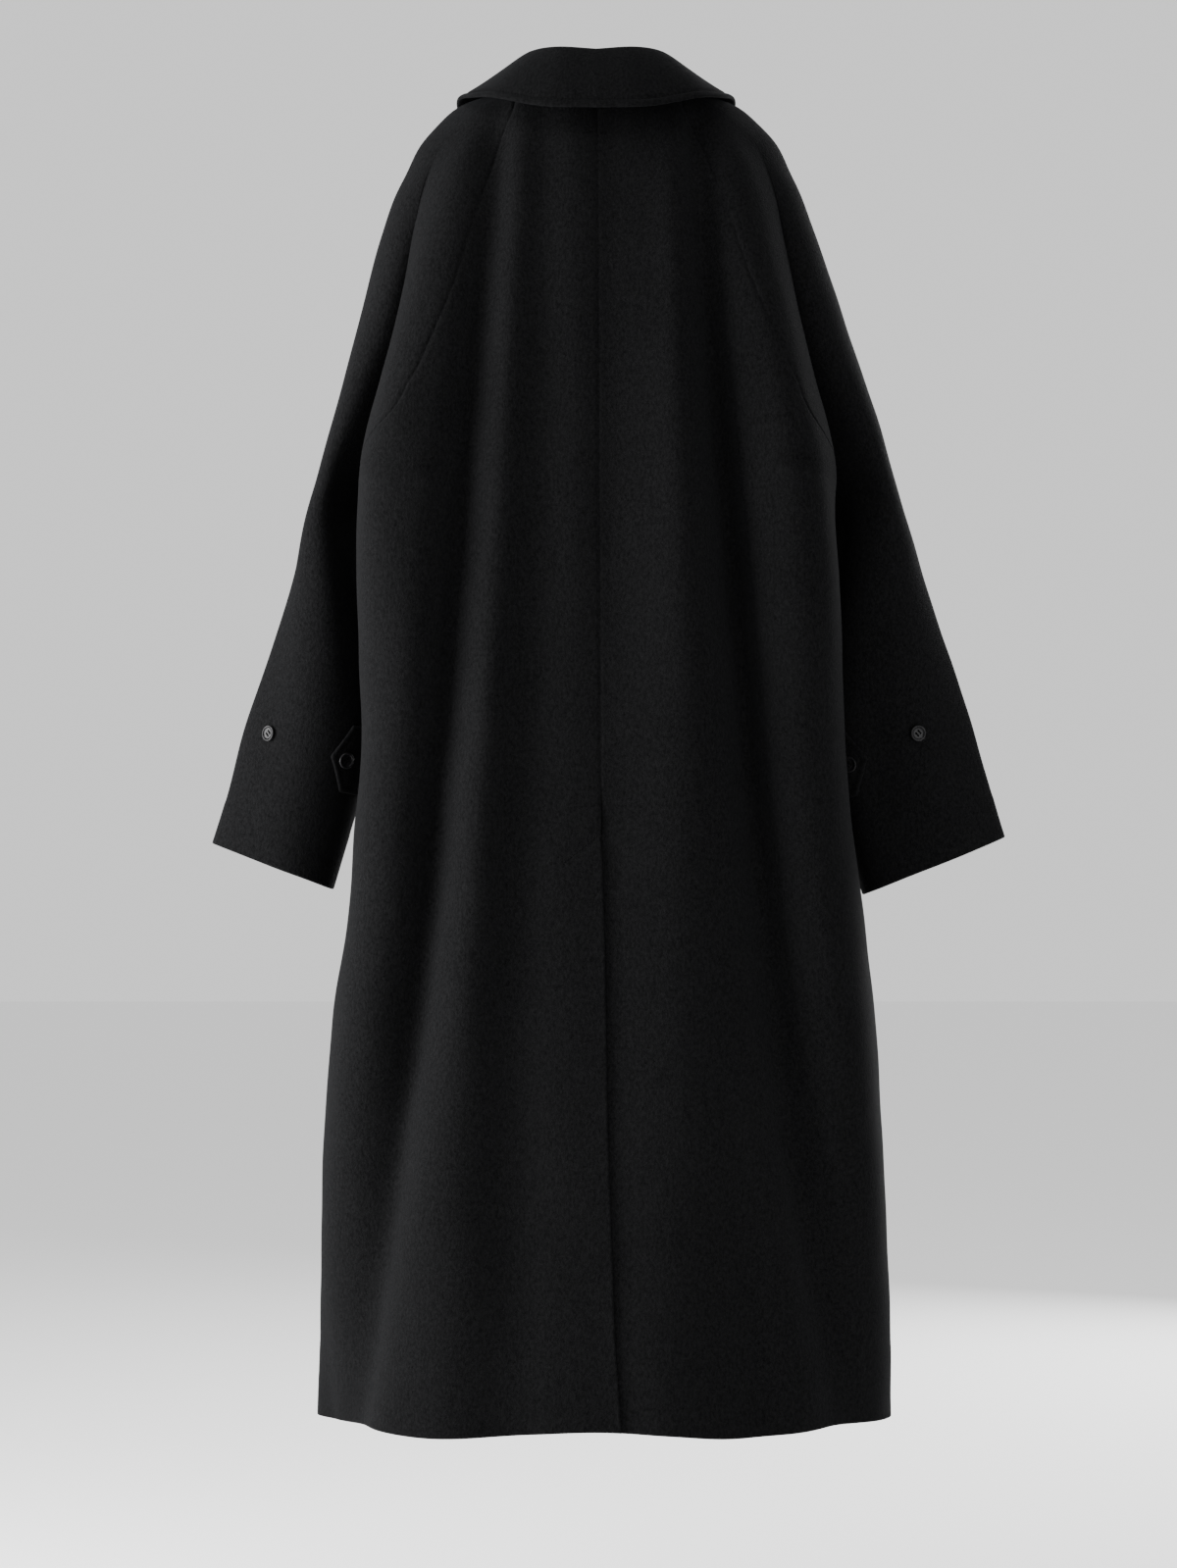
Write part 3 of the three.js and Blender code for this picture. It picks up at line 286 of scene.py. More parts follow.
def whole_rows(part, which, at):
    """Rows from the wearer's left to right: upper (sleeve, body, sleeve), body, left or right sleeve."""
    if which in HAND.values():
        return sleeve_section(part, 1, at) if which == "right" else sleeve_section(part, -1, at)[:, ::-1]
    runs = [body_section(part, -1, at)[:, ::-1], body_section(part, 1, at)]
    if which == "upper":
        runs = [sleeve_section(part, -1, at)[:, ::-1], *runs, sleeve_section(part, 1, at)]
    return np.concatenate([runs[0], *(run[:, 1:] for run in runs[1:])], axis=1)


def distances(rows):
    d = np.linalg.norm(np.diff(rows, axis=1), axis=2)
    return np.concatenate([np.zeros((len(rows), 1)), np.cumsum(d, axis=1)], axis=1)


def row_normals(above, here, below, part):
    across = np.empty_like(here)
    across[:, 1:-1] = here[:, 2:] - here[:, :-2]
    across[:, 0] = here[:, 1] - here[:, 0]
    across[:, -1] = here[:, -1] - here[:, -2]
    return unit(np.cross(across, below - above) * OUT[part])


# Distances over which the folds fade out, and the share of them kept over the sleeve's fold
FADE = {"body": 45, "sleeve": 30, "neck": 70, "armpit": 60, "over": 40, "kept": 0.4}


def sleeve_lift(part, side, share, length, at):
    t = SLEEVE_FOLDS[part, side]
    total = np.zeros_like(share)
    for i in range(len(t["start"])):
        u = (at - t["start"][i]) / (t["stop"][i] - t["start"][i])
        spread = (step(u / 0.3) * step((1 - u) / 0.3))[:, None]
        place = (t["share0"][i] + (t["share1"][i] - t["share0"][i]) * np.clip(u, 0, 1))[:, None]
        total += t["lift"][i] * spread * bell((share - place) * length, t["half"][i])
    return total * step(share * length / FADE["sleeve"]) * step((1 - share) * length / FADE["sleeve"])


def body_lift(part, x, z):
    down = np.clip(-z, FOLD_DOWN[0], FOLD_DOWN[-1])
    total = np.zeros_like(x)
    for fold in FOLDS[part]:
        place, lift, half = (blend(FOLD_DOWN, fold[k], down) for k in ("x", "lift", "half"))
        total += lift * bell(x - place, half)
    return total * step(-z / FADE["neck"])


def lifts(part, which, rows, at):
    """How far the folds lift each point of each row."""
    d = distances(rows)
    last = d[:, -1:]
    span = FADE["body"]
    if which == "body":
        return body_lift(part, rows[..., 0], rows[..., 2]) * step(d / span) * step((last - d) / span)
    if which != "upper":
        side = -1 if which == "left" else 1
        return sleeve_lift(part, side, 1 - d / last if side < 0 else d / last, last, at)
    a, b = d[:, SAMPLES:SAMPLES + 1], d[:, 3 * SAMPLES:3 * SAMPLES + 1]
    keep = FADE["kept"] * step((ARMPIT - at) / FADE["armpit"])[:, None]
    inside = step((d - a) / span) * step((b - d) / span)
    out = np.maximum(a - d, d - b)
    fade = np.where(out > 0, keep * step(1 - out / FADE["over"]), inside * (1 - keep) + keep)
    total = body_lift(part, rows[..., 0], rows[..., 2]) * fade
    left, right = slice(0, SAMPLES), slice(3 * SAMPLES + 1, None)
    total[:, left] += sleeve_lift(part, -1, (a - d[:, left]) / a, a, at)
    total[:, right] += sleeve_lift(part, 1, (d[:, right] - b) / (last - b), last - b, at)
    return total


def folded(part, which, at):
    low, high = (0.0, ARMPIT) if which == "upper" else (ARMPIT, HEM + 10)
    levels = [np.clip(at - 1.5, low, high), at, np.clip(at + 1.5, low, high)]
    rows = [whole_rows(part, which, a) for a in levels]
    n = row_normals(*rows, part)
    moved = [r + n * lifts(part, which, r, a)[..., None] for r, a in zip(rows, levels)]
    return moved[1], row_normals(*moved, part)


CORNERS = {"upper": (SAMPLES, 3 * SAMPLES), "body": (0, 2 * SAMPLES), "left": (SAMPLES,), "right": (0,)}


def levels_of(which, at):
    """Back and front rows at each level, with the normals shared where they meet."""
    at = np.asarray(at, float)
    out = {}
    for part in OUT:
        p, n = folded(part, which, at)
        out[part] = {"p": p, "n": n, "d": distances(p)}
    back, front = (out[part]["n"] for part in OUT)
    for k in (0, -1):
        back[:, k] = front[:, k] = unit(back[:, k] + front[:, k])
    for i in np.nonzero(at == ARMPIT)[0]:
        for k in CORNERS[which]:
            back[i, k] = front[i, k] = (0, 0, -1)
    return out


def sample(rows, i, where):
    """Points and normals at distances along row i."""
    d = rows["d"][i]
    return along_line(where, d, rows["p"][i]), unit(along_line(where, d, rows["n"][i]))


def steps_down(start, stop, fine_end=False):
    """Levels from start to stop a mesh row apart, closer together just before a hem."""
    count = max(2, round((stop - start) / ROW))
    at = np.linspace(start, stop, count + 1)
    if fine_end:
        near = np.cumsum(HEM_CELLS)[::-1]
        at = np.concatenate([at[at < stop - 2 * ROW + 0.5], stop - near, [stop]])
    return at


UPPER = steps_down(0, ARMPIT)
LAST_UPPER = len(UPPER) - 1
BODY_DOWN = steps_down(ARMPIT, HEM, True)[1:]
SLEEVE_DOWN = steps_down(ARMPIT, CUFF, True)[1:]
ROWS = {"upper": levels_of("upper", UPPER), "body": levels_of("body", BODY_DOWN),
        "left": levels_of("left", SLEEVE_DOWN), "right": levels_of("right", SLEEVE_DOWN)}


def spread(width, cells, start_fine=True, end_fine=True):
    """Distances of the columns over a width, with close columns at its seams."""
    near = EDGE_CELLS * min(1.0, 0.3 * width / EDGE_CELLS.sum())
    a = near if start_fine else np.zeros(0)
    b = near[::-1] if end_fine else np.zeros(0)
    middle = np.full(cells, (width - a.sum() - b.sum()) / cells)
    return np.concatenate([[0], np.cumsum(np.concatenate([a, middle, b]))])


# Closed shells of cloth
def grid_numbers(rows, columns, first=0):
    return first + np.arange(rows * columns).reshape(rows, columns)


def grid_quads(numbers):
    corners = numbers[:-1, :-1], numbers[:-1, 1:], numbers[1:, 1:], numbers[1:, :-1]
    return np.stack(corners, -1).reshape(-1, 4)


def shell(name, p, n, outer, inner, quads):
    """A closed wall round a sheet of quads: outer and inner are how far each face lies from the sheet."""
    count = len(p)
    middle = quads[len(quads) // 2]
    a, b, c = p[middle[:3]]
    if np.dot(np.cross(b - a, c - a), n[middle[0]]) < 0:
        quads = quads[:, ::-1]
    places = np.concatenate([p + n * outer[:, None], p - n * inner[:, None]]) * MM
    edges = np.concatenate([quads[:, [k, (k + 1) % 4]] for k in range(4)])
    edges = edges[edges[:, 0] != edges[:, 1]]
    forward = edges[:, 0] * count + edges[:, 1]
    backward = edges[:, 1] * count + edges[:, 0]
    rim = edges[~np.isin(forward, backward)]
    walls = np.stack([rim[:, 1], rim[:, 0], rim[:, 0] + count, rim[:, 1] + count], -1)
    faces = []
    for q in np.concatenate([quads, quads[:, ::-1] + count, walls]).tolist():
        f = [v for k, v in enumerate(q) if v != q[k - 1]]
        if len(f) > 2:
            faces.append(f)
    return add_piece(name + "_cloth", new_mesh(name + "_cloth", places, faces), WOOL)


def sheet(name, lines):
    """A shell round a sheet given line by line: points, normals, and how far off each face lies."""
    p, n, outer, inner = (np.array(v) for v in zip(*lines))
    quads = grid_quads(grid_numbers(*p.shape[:2]))
    return shell(name, p.reshape(-1, 3), n.reshape(-1, 3), outer.ravel(), inner.ravel(), quads)


def new_mesh(name, places, faces):
    mesh = bpy.data.meshes.new(name)
    mesh.from_pydata(np.asarray(places, float).tolist(), [], faces)
    return mesh


def new_object(name, data):
    made = bpy.data.objects.new(name, data)
    bpy.context.scene.collection.objects.link(made)
    return made


def add_piece(name, mesh, material):
    mesh.polygons.foreach_set("use_smooth", [True] * len(mesh.polygons))
    mesh.update()
    piece = new_object(name, mesh)
    mesh.materials.append(material)
    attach(piece, "root")
    return piece


# Finishes
def with_values(node, values):
    for socket, value in values.items():
        node.inputs[socket.replace("_", " ")].default_value = value
    return node


class Finish:
    """A material built node by node round its shader."""

    def __init__(self, name, **values):
        self.material = bpy.data.materials.new(name)
        self.material.use_nodes = True
        self.nodes, self.link = self.material.node_tree.nodes, self.material.node_tree.links.new
        self.inputs = with_values(self.nodes["Principled BSDF"], values).inputs

    def node(self, kind, **values):
        return with_values(self.nodes.new("ShaderNode" + kind), values)

    def noise(self, scale, detail, stretch=(1, 1, 1)):
        """Noise in the part's own frame, scale in cells to the metre."""
        mapping = self.node("Mapping", Scale=[scale * s for s in stretch])
        texture = self.node("TexNoise", Scale=1.0, Detail=detail)
        self.link(self.node("TexCoord").outputs["Object"], mapping.inputs["Vector"])
        self.link(mapping.outputs["Vector"], texture.inputs["Vector"])
        return texture.outputs["Fac"]

    def multiply_add(self, value, factor, more):
        """A value times a factor, plus a number or another value."""
        node = self.node("Math")
        node.operation = "MULTIPLY_ADD"
        node.inputs[1].default_value = factor
        self.link(value, node.inputs[0])
        if isinstance(more, float):
            node.inputs[2].default_value = more
        else:
            self.link(more, node.inputs[2])
        return node.outputs[0]

    def colour(self, value, low, high):
        """Base colour between two tones; each has its place on the scale of the value."""
        ramp = self.node("ValToRGB")
        for element, (place, tone) in zip(ramp.color_ramp.elements, (low, high)):
            element.position = place
            element.color = (*tone, 1)
        self.link(value, ramp.inputs["Fac"])
        self.link(ramp.outputs["Color"], self.inputs["Base Color"])

    def relief(self, value, strength, distance):
        bump = self.node("Bump", Strength=strength, Distance=distance)
        self.link(value, bump.inputs["Height"])
        self.link(bump.outputs["Normal"], self.inputs["Normal"])


def wool_material():
    """Black coat wool: a short felted nap, a little uneven in tone."""
    wool = Finish("wool", Roughness=1.0, Specular_IOR_Level=0.02, Sheen_Weight=0.012, Sheen_Roughness=0.5,
                  Sheen_Tint=(0.55, 0.57, 0.62, 1))
    nap = wool.noise(1050, 3.0, (1.0, 1.0, 0.8))
    fleck = wool.noise(420, 2.0, (1.0, 1.0, 0.7))
    cloud = wool.noise(9, 2.0)
    tone = wool.multiply_add(nap, 0.7, fleck)
    level = wool.multiply_add(tone, 0.8, 0.06)
    shade = wool.multiply_add(cloud, 0.14, level)
    wool.colour(shade, (0.5, (0.0009, 0.0009, 0.00096)), (1.0, (0.0041, 0.0041, 0.0043)))
    wool.relief(tone, 0.8, 0.0007)
    return wool.material


def thread_with_painted_shade_material():
    thread = Finish("thread", Roughness=0.8, Specular_IOR_Level=0.06)
    ply = thread.noise(2400, 1.0)
    # Painted shade: the thread is black of its own, coloured darker still than the wool so each row of
    # stitches shows as the shadow in its groove
    thread.colour(ply, (0.0, (0.0004, 0.0004, 0.00045)), (1.0, (0.0012, 0.0012, 0.0013)))
    thread.relief(ply, 0.4, 0.0002)
    return thread.material


def button_material():
    """Polished dark horn-like resin, faintly marbled, with fine rubbing marks."""
    resin = Finish("button", Specular_IOR_Level=0.07)
    marble = resin.noise(190, 4.0, (1, 1, 0.35))
    resin.colour(marble, (0.35, (0.003, 0.003, 0.0034)), (0.75, (0.010, 0.0095, 0.010)))
    rub = resin.noise(900, 2.0)
    resin.relief(rub, 0.15, 0.0001)
    rough = resin.node("MapRange", To_Min=0.24, To_Max=0.36)
    resin.link(rub, rough.inputs["Value"])
    resin.link(rough.outputs["Result"], resin.inputs["Roughness"])
    return resin.material


WOOL, THREAD_WITH_PAINTED_SHADE, RESIN = wool_material(), thread_with_painted_shade_material(), button_material()


# Relief of the cloth's faces
SEAM = {"depth": 0.95, "half": 1.25}
TURN_UP = {"hem": 68.0, "cuff": 45.0, "rise": 0.35, "ease": 5.0}
WAVES = [(0.35, 0.017, 0.005, 0.4), (0.3, -0.008, 0.016, 2.1), (0.16, 0.037, 0.011, 4.0),
         (0.14, 0.023, -0.031, 1.2)]
WAVE_SCALE = 2.2


def uneven(p):
    """Slow dents and swellings of hand-pressed cloth, the same on both sides of a seam."""
    x, y, z = p[..., 0], p[..., 1], p[..., 2]
    total = np.zeros_like(x)
    for height, across, down, start in WAVES:
        total += height * np.sin(2 * math.pi * (across * (x + 0.4 * y) + down * z) / WAVE_SCALE + start)
    return total * step(-z / 60)


def rounded(distance, half=FACE, least=0.03):
    """Share of the wall's thickness left at a distance from a free edge."""
    return np.sqrt(1 - (1 - np.clip(distance / half, least, 1)) ** 2)


def hem_at(end, along, depth):
    """Share of the wall left near a hem, and how much the cloth turned up inside it adds."""
    return rounded(np.array(end - along)), TURN_UP["rise"] * step((along - end + depth) / TURN_UP["ease"])


def groove(distance):
    return SEAM["depth"] * bell(distance, SEAM["half"])


def linear(t, name, at):
    return np.interp(at, t["along"], t[name])


# Slanting line of stitches at the vent's top: its ends across and along the cloth, and the bar it ends in
VENT_STITCH = {"from": (0.0, 752.0), "to": (-31.5, 777.0), "depth": 1.5, "half": 2.6, "bar": 5.0}
VENT_ROWS = []         # rows of the left back: level, places across, points, normals


def vent_stitches():
    (x0, a0), (x1, a1) = VENT_STITCH["from"], VENT_STITCH["to"]
    spots = [(x0 + (x1 - x0) * share, a0 + (a1 - a0) * share) for share in np.linspace(0.02, 1, 30)]
    spots += [(x1, a1 + VENT_STITCH["bar"] / 2), (x1, a1 + VENT_STITCH["bar"])]
    levels = [row[0] for row in VENT_ROWS]
    path, path_n = [], []
    for x, along in spots:
        for kept, line in ((2, path), (3, path_n)):
            across = np.array([along_line(-x, -row[1], row[kept]) for row in VENT_ROWS])
            line.append(along_line(along, levels, across))
    return stitches("vent_stitches", np.array(path), unit(np.array(path_n)))


def from_segment(x, along, a, b):
    """Distance from a segment drawn on the cloth."""
    dx, dy = b[0] - a[0], b[1] - a[1]
    t = np.clip(((x - a[0]) * dx + (along - a[1]) * dy) / (dx * dx + dy * dy), 0, 1)
    return np.hypot(x - a[0] - t * dx, along - a[1] - t * dy)


def body_panel(part, side):
    name = f"{part}_{HAND[side]}"
    layer_edge = "over" if side < 0 else "under"
    lines = []
    for i, along in enumerate(np.concatenate([UPPER, BODY_DOWN])):
        upper = i <= LAST_UPPER
        rows, k = (ROWS["upper"][part], i) if upper else (ROWS["body"][part], i - LAST_UPPER - 1)
        d = rows["d"][k]
        mid = d[2 * SAMPLES if upper else SAMPLES]
        fold = d[(2 + side) * SAMPLES] if upper else d[-1 if side > 0 else 0]
        gap = col(RAGLAN, part, along) if upper else 0.0
        start = mid - side * FRONT_LAP if part == "front" else mid + linear(MIDDLE, layer_edge, along)
        seamed = part == "back" and along <= VENT_TOP
        first = SEAM_GAP if seamed else 0.0
        width = side * (fold - start) - gap - first - SEAM_GAP
        place = spread(width, BODY_CELLS[part])
        where = start + side * (first + place)
        points, normals = sample(rows, k, where)
        x = where - mid
        if part == "front":
            lift = step((LAYERS["front"] - side * x) / LAYERS["front_ease"]) * -side
        else:
            edge = LAYERS["over"] if side < 0 else linear(MIDDLE, "over", along) + LAYERS["under"]
            lift = step((edge - side * x) / LAYERS["over_ease"]) * -side
            lift = lift * step((along - VENT_TOP + LAYERS["above"]) / LAYERS["above_ease"])
        points = points + normals * (lift * VENT_STEP + uneven(points))[:, None]
        if along == ARMPIT:
            points[-1] += (-CORNER_STEP * side, CORNER_STEP * OUT[part], 0)
        thick_out = np.full(len(where), FACE) - groove(width - place)
        thick_in = np.full(len(where), FACE)
        if seamed:
            thick_out -= groove(place)
        else:
            free = rounded(place)
            thick_out, thick_in = thick_out * free, thick_in * free
        hem, turned_up = hem_at(HEM, along, TURN_UP["hem"])
        thick_out = (thick_out + turned_up) * hem
        if name == "back_left":
            near = from_segment(x, along, VENT_STITCH["from"], VENT_STITCH["to"])
            thick_out -= VENT_STITCH["depth"] * bell(near, VENT_STITCH["half"])
            VENT_ROWS.append((along, x, points + normals * thick_out[:, None], normals))
        lines.append((points, normals, thick_out, thick_in * hem))
    return sheet(name, lines)


def sleeve_panel(part, side):
    lines, wing, wing_numbers = [], [], []
    columns = SLEEVE_CELLS + 2 * len(EDGE_CELLS) + 1
    main = grid_numbers(len(UPPER) + len(SLEEVE_DOWN), columns)
    spare = main.size
    for i, along in enumerate(np.concatenate([UPPER, SLEEVE_DOWN])):
        upper = i <= LAST_UPPER
        if upper:
            rows, k = ROWS["upper"][part], i
            fold = rows["d"][k][(2 + side) * SAMPLES]
            first = 0.0
        else:
            rows, k = ROWS[HAND[side]][part], i - LAST_UPPER - 1
            fold = rows["d"][k][0 if side > 0 else -1]
            first = SEAM_GAP
        end = rows["d"][k][-1 if side > 0 else 0]
        width = side * (end - fold) - first - SEAM_GAP
        place = spread(width, SLEEVE_CELLS)
        points, normals = sample(rows, k, fold + side * (first + place))
        points = points + normals * uneven(points)[:, None]
        if along == ARMPIT:
            points[0] += (CORNER_STEP * side, CORNER_STEP * OUT[part], 0)
        underarm = groove(place) * step((along - ARMPIT) / 12)
        hem, turned_up = hem_at(CUFF, along, TURN_UP["cuff"])
        thick_out = (FACE - groove(width - place) - underarm + turned_up) * hem
        lines.append((points, normals, thick_out, np.full(columns, FACE) * hem))
        if not upper:
            continue
        gap = col(RAGLAN, part, along)
        if i in (0, LAST_UPPER):
            wing_numbers.append([main[i][0]] * (WING_CELLS + len(EDGE_CELLS) + 1))
            continue
        place = spread(gap - SEAM_GAP, WING_CELLS, end_fine=False)[:-1]
        points, normals = sample(rows, k, fold - side * (gap - SEAM_GAP - place))
        points = points + normals * uneven(points)[:, None]
        wing.append((points, normals, FACE - groove(place), np.full(len(place), FACE)))
        wing_numbers.append([*range(spare, spare + len(place)), main[i][0]])
        spare += len(place)
    quads = np.concatenate([grid_quads(main), grid_quads(np.array(wing_numbers))])
    values = (np.concatenate(v) for v in zip(*lines, *wing))
    return shell(f"sleeve_{part}_{HAND[side]}", *values, quads)


# Collar
COLLAR_COLUMNS = ("along", "top_x", "top_y", "top_z", "edge_x", "edge_y", "edge_z", "rise", "pull")
COLLAR = table(COLLAR_COLUMNS, [
    (0, 0, -63, 21, 0, -113, -33, 15, 0.16),
    (0.15, 32, -57, 24, 50, -108, -31, 15, 0.18),
    (0.3, 53, -37, 24, 98, -79, -19, 14, 0.26),
    (0.38, 58, -20, 24, 116, -48, -15, 13, 0.34),
    (0.46, 60, 0, 22, 126, -8, -11, 13, 0.38),
    (0.6, 57, 32, 11, 126, 42, -23, 13, 0.36),
    (0.75, 46, 58, -10, 110, 86, -62, 13, 0.26),
    (0.88, 25, 73, -35, 84, 106, -92, 13, 0.18),
    (1, 3, 79, -50, 58, 117, -118, 12, 0.16)])
STAND_SHIFT = -2.0
STAND = {"wall": 2.2, "last": 0.992, "around": 150, "up": 14, "climb": 7, "below_top": 9,
         "clear": 0.35, "open": 0.85}
LEAF = {"wall": 3.0, "last": 0.995, "around": 300, "down": 34, "stitch": 7.6, "depth": 0.85, "half": 1.2,
        "puff": 0.5, "ridge": (3.6, 2.2), "length": 700, "over_stand": 0.6, "fall": 0.78}
# Rows of the mesh from the leaf's edge in
WELT = np.array([0.4, 0.5, 0.7, 1.0, 1.3, 1.2, 0.9, 0.6, 0.5, 0.5, 0.6, 0.9, 1.4])


def collar_lines(side, share):
    get = {name: col(COLLAR, name, share) for name in COLLAR_COLUMNS[1:]}
    top, edge = (np.stack([side * get[line + "_x"] + STAND_SHIFT, get[line + "_y"], get[line + "_z"]], -1)
                 for line in ("top", "edge"))
    return top, edge, get["rise"], get["pull"]


def round_the_neck(count, last):
    raw = np.linspace(-1, 1, 2 * count + 1)
    return np.where(raw < 0, -1.0, 1.0), np.minimum(last, np.abs(raw))


def sheet_normals(grid, outward):
    down = np.gradient(grid, axis=0)
    across = np.gradient(grid, axis=1)
    return unit(np.cross(down, across)) * outward


def neck_ring(side, share):
    """A point and normal on the neck edge, from the middle of the back (0) to that of the front (1)."""
    back, front = ROWS["upper"]["back"], ROWS["upper"]["front"]
    b, f = back["d"][0, 2 * SAMPLES], front["d"][0, 2 * SAMPLES]
    length_back = back["d"][0, -1] - b if side > 0 else b
    length_front = front["d"][0, -1] - f if side > 0 else f
    at = share * (length_back + length_front)
    if at <= length_back:
        p, n = sample(back, 0, np.array([b + side * at]))
    else:
        p, n = sample(front, 0, np.array([f + side * (length_back + length_front - at)]))
    return p[0], n[0]


def collar_stand():
    side, share = round_the_neck(STAND["around"] // 2, STAND["last"])
    top = collar_lines(side, share)[0]
    foot, foot_n, climb = [], [], []
    for s, a, t in zip(side, share, top):
        p, n = neck_ring(s, a)
        ahead, behind = neck_ring(s, min(1, a + 0.01))[0], neck_ring(s, max(0, a - 0.01))[0]
        c = unit(np.cross(ahead - behind, n))
        c = -c if np.dot(c, t - p) < 0 else c
        foot.append(p + c * (STAND["clear"] + step((a - STAND["open"]) / (1 - STAND["open"]))))
        foot_n.append(n)
        climb.append(c)
    foot, climb = np.array(foot), np.array(climb)
    grid = cubic(foot, foot + climb * STAND["climb"], top - (0, 0, STAND["below_top"]), top,
                 np.linspace(0, 1, STAND["up"] + 1))
    n = sheet_normals(grid, 1)
    n[:, 0] = foot_n
    thick = np.full(grid.shape[:2], STAND["wall"] / 2)
    return sheet("collar_stand", zip(grid, n, thick, thick))


def collar_leaf():
    side, share = round_the_neck(LEAF["around"] // 2, LEAF["last"])
    top, edge, rise, pull = collar_lines(side, share)
    up = np.array([0, 0, 1.0])
    out = edge - top
    out[:, 2] = 0
    out = unit(out)
    start = top + up * LEAF["over_stand"]
    p1 = start + up * rise[:, None]
    drop = top[:, 2] - edge[:, 2]
    back = pull * np.linalg.norm(edge - top, axis=1)
    p2 = edge + up * ((LEAF["fall"] - pull) * drop)[:, None] - out * back[:, None]
    fine = cubic(start, p1, p2, edge, np.linspace(0, 1, 121))
    rest = LEAF["down"] - len(WELT)
    grid, from_edge = [], []
    for line, along in zip(fine, distances(fine)):
        cells = np.concatenate([np.full(rest, (along[-1] - WELT.sum()) / rest), WELT[::-1]])
        where = np.concatenate([[0], np.cumsum(cells)])
        grid.append(along_line(where, along, line))
        from_edge.append(along[-1] - where)
    grid, from_edge = np.array(grid), np.array(from_edge)
    n = sheet_normals(grid, -1)
    half = LEAF["wall"] / 2
    ends = np.linspace(0, 1, len(grid))[:, None]
    from_end = np.minimum(ends, 1 - ends) * LEAF["length"]
    line = LEAF["depth"] * bell(from_edge - LEAF["stitch"], LEAF["half"])
    puff = LEAF["puff"] * bell(from_edge - LEAF["ridge"][0], LEAF["ridge"][1])
    round_edge = rounded(from_edge, half)
    outer = (half - line + puff) * round_edge * rounded(from_end, half, 0.1)
    piece = sheet("collar_leaf", zip(grid, n, outer, half * round_edge))
    path, path_n = [], []
    for line_p, line_n, away in zip(grid[:, ::-1], n[:, ::-1], from_edge[:, ::-1]):
        normal = unit(along_line(LEAF["stitch"], away, line_n))
        path.append(along_line(LEAF["stitch"], away, line_p) + normal * (half - LEAF["depth"] + 0.12))
        path_n.append(normal)
    return piece, np.array(path), np.array(path_n)


# Rows of stitches
STITCH = {"pitch": 3.3, "share": 0.8, "radius": 0.36}
THREAD_SIDES = 6
ROUND_THREAD = [(math.cos(k * math.pi / 3), math.sin(k * math.pi / 3)) for k in range(THREAD_SIDES)]
# One stitch from end to end: place along it, its thickness, and how high it lies
STITCH_FORM = table(("place", "thick", "high"), [
    (0, 0.3, -0.35), (0.12, 0.75, -0.05), (0.3, 0.95, 0.08), (0.5, 1.0, 0.1), (0.7, 0.95, 0.08),
    (0.88, 0.75, -0.05), (1.0, 0.3, -0.35)])


def thread_faces(first, rings):
    """Faces of a closed length of thread, whose rings of points start at number first."""
    sides, last = THREAD_SIDES, first + THREAD_SIDES * (rings - 1)
    faces = []
    for start in range(first, last, sides):
        for k in range(sides):
            after = (k + 1) % sides
            faces.append((start + k, start + after, start + sides + after, start + sides + k))
    return [*faces, tuple(range(first + sides - 1, first - 1, -1)), tuple(range(last, last + sides))]


def stitches(name, path, normals):
    """Short threads one after another along a line on the cloth, their ends sunk in it."""
    d = distances(path[None])[0]
    places, faces = [], []
    for k in range(max(1, int(d[-1] / STITCH["pitch"]))):
        at = (k + 0.1 + STITCH_FORM["place"] * STITCH["share"]) * STITCH["pitch"]
        centre = along_line(at, d, path)
        n = unit(along_line(at, d, normals))
        b = unit(np.cross(unit(np.gradient(centre, axis=0)), n))
        centre = centre + n * STITCH_FORM["high"][:, None]
        faces += thread_faces(len(places), len(centre))
        for c, nn, bb, r in zip(centre, n, b, STITCH_FORM["thick"] * STITCH["radius"]):
            places += [c + (bb * across + nn * up) * r for across, up in ROUND_THREAD]
    return add_piece(name, new_mesh(name, np.array(places) * MM, faces), THREAD_WITH_PAINTED_SHADE)


# Cuff straps
STRAP = {"along": 673.0, "half_width": 27.5, "tip_left": 66.5, "tip_right": 68.5, "point": 17.0,
         "tail": -62.0, "wall": 3.0, "clear": 0.7, "across": 34, "length": 70, "inset": 5.0,
         "depth": 0.6, "half": 1.0, "puff": 0.25, "ridge": (2.4, 1.6)}
STRAP_RIM = np.array([0.35, 0.5, 0.8, 1.2, 1.6, 1.6, 1.6])   # cells from the strap's edge in


def on_sleeve(side, along, where):
    """Points and normals round the sleeve at one level, from the underarm line; the back is positive."""
    rows = levels_of(HAND[side], [along])
    where = np.asarray(where, float)
    p, n = np.zeros((len(where), 3)), np.zeros((len(where), 3))
    for part, pick in (("back", where >= 0), ("front", where < 0)):
        if pick.any():
            last = rows[part]["d"][0, -1]
            at = np.abs(where[pick])
            p[pick], n[pick] = sample(rows[part], 0, at if side > 0 else last - at)
    return p, n


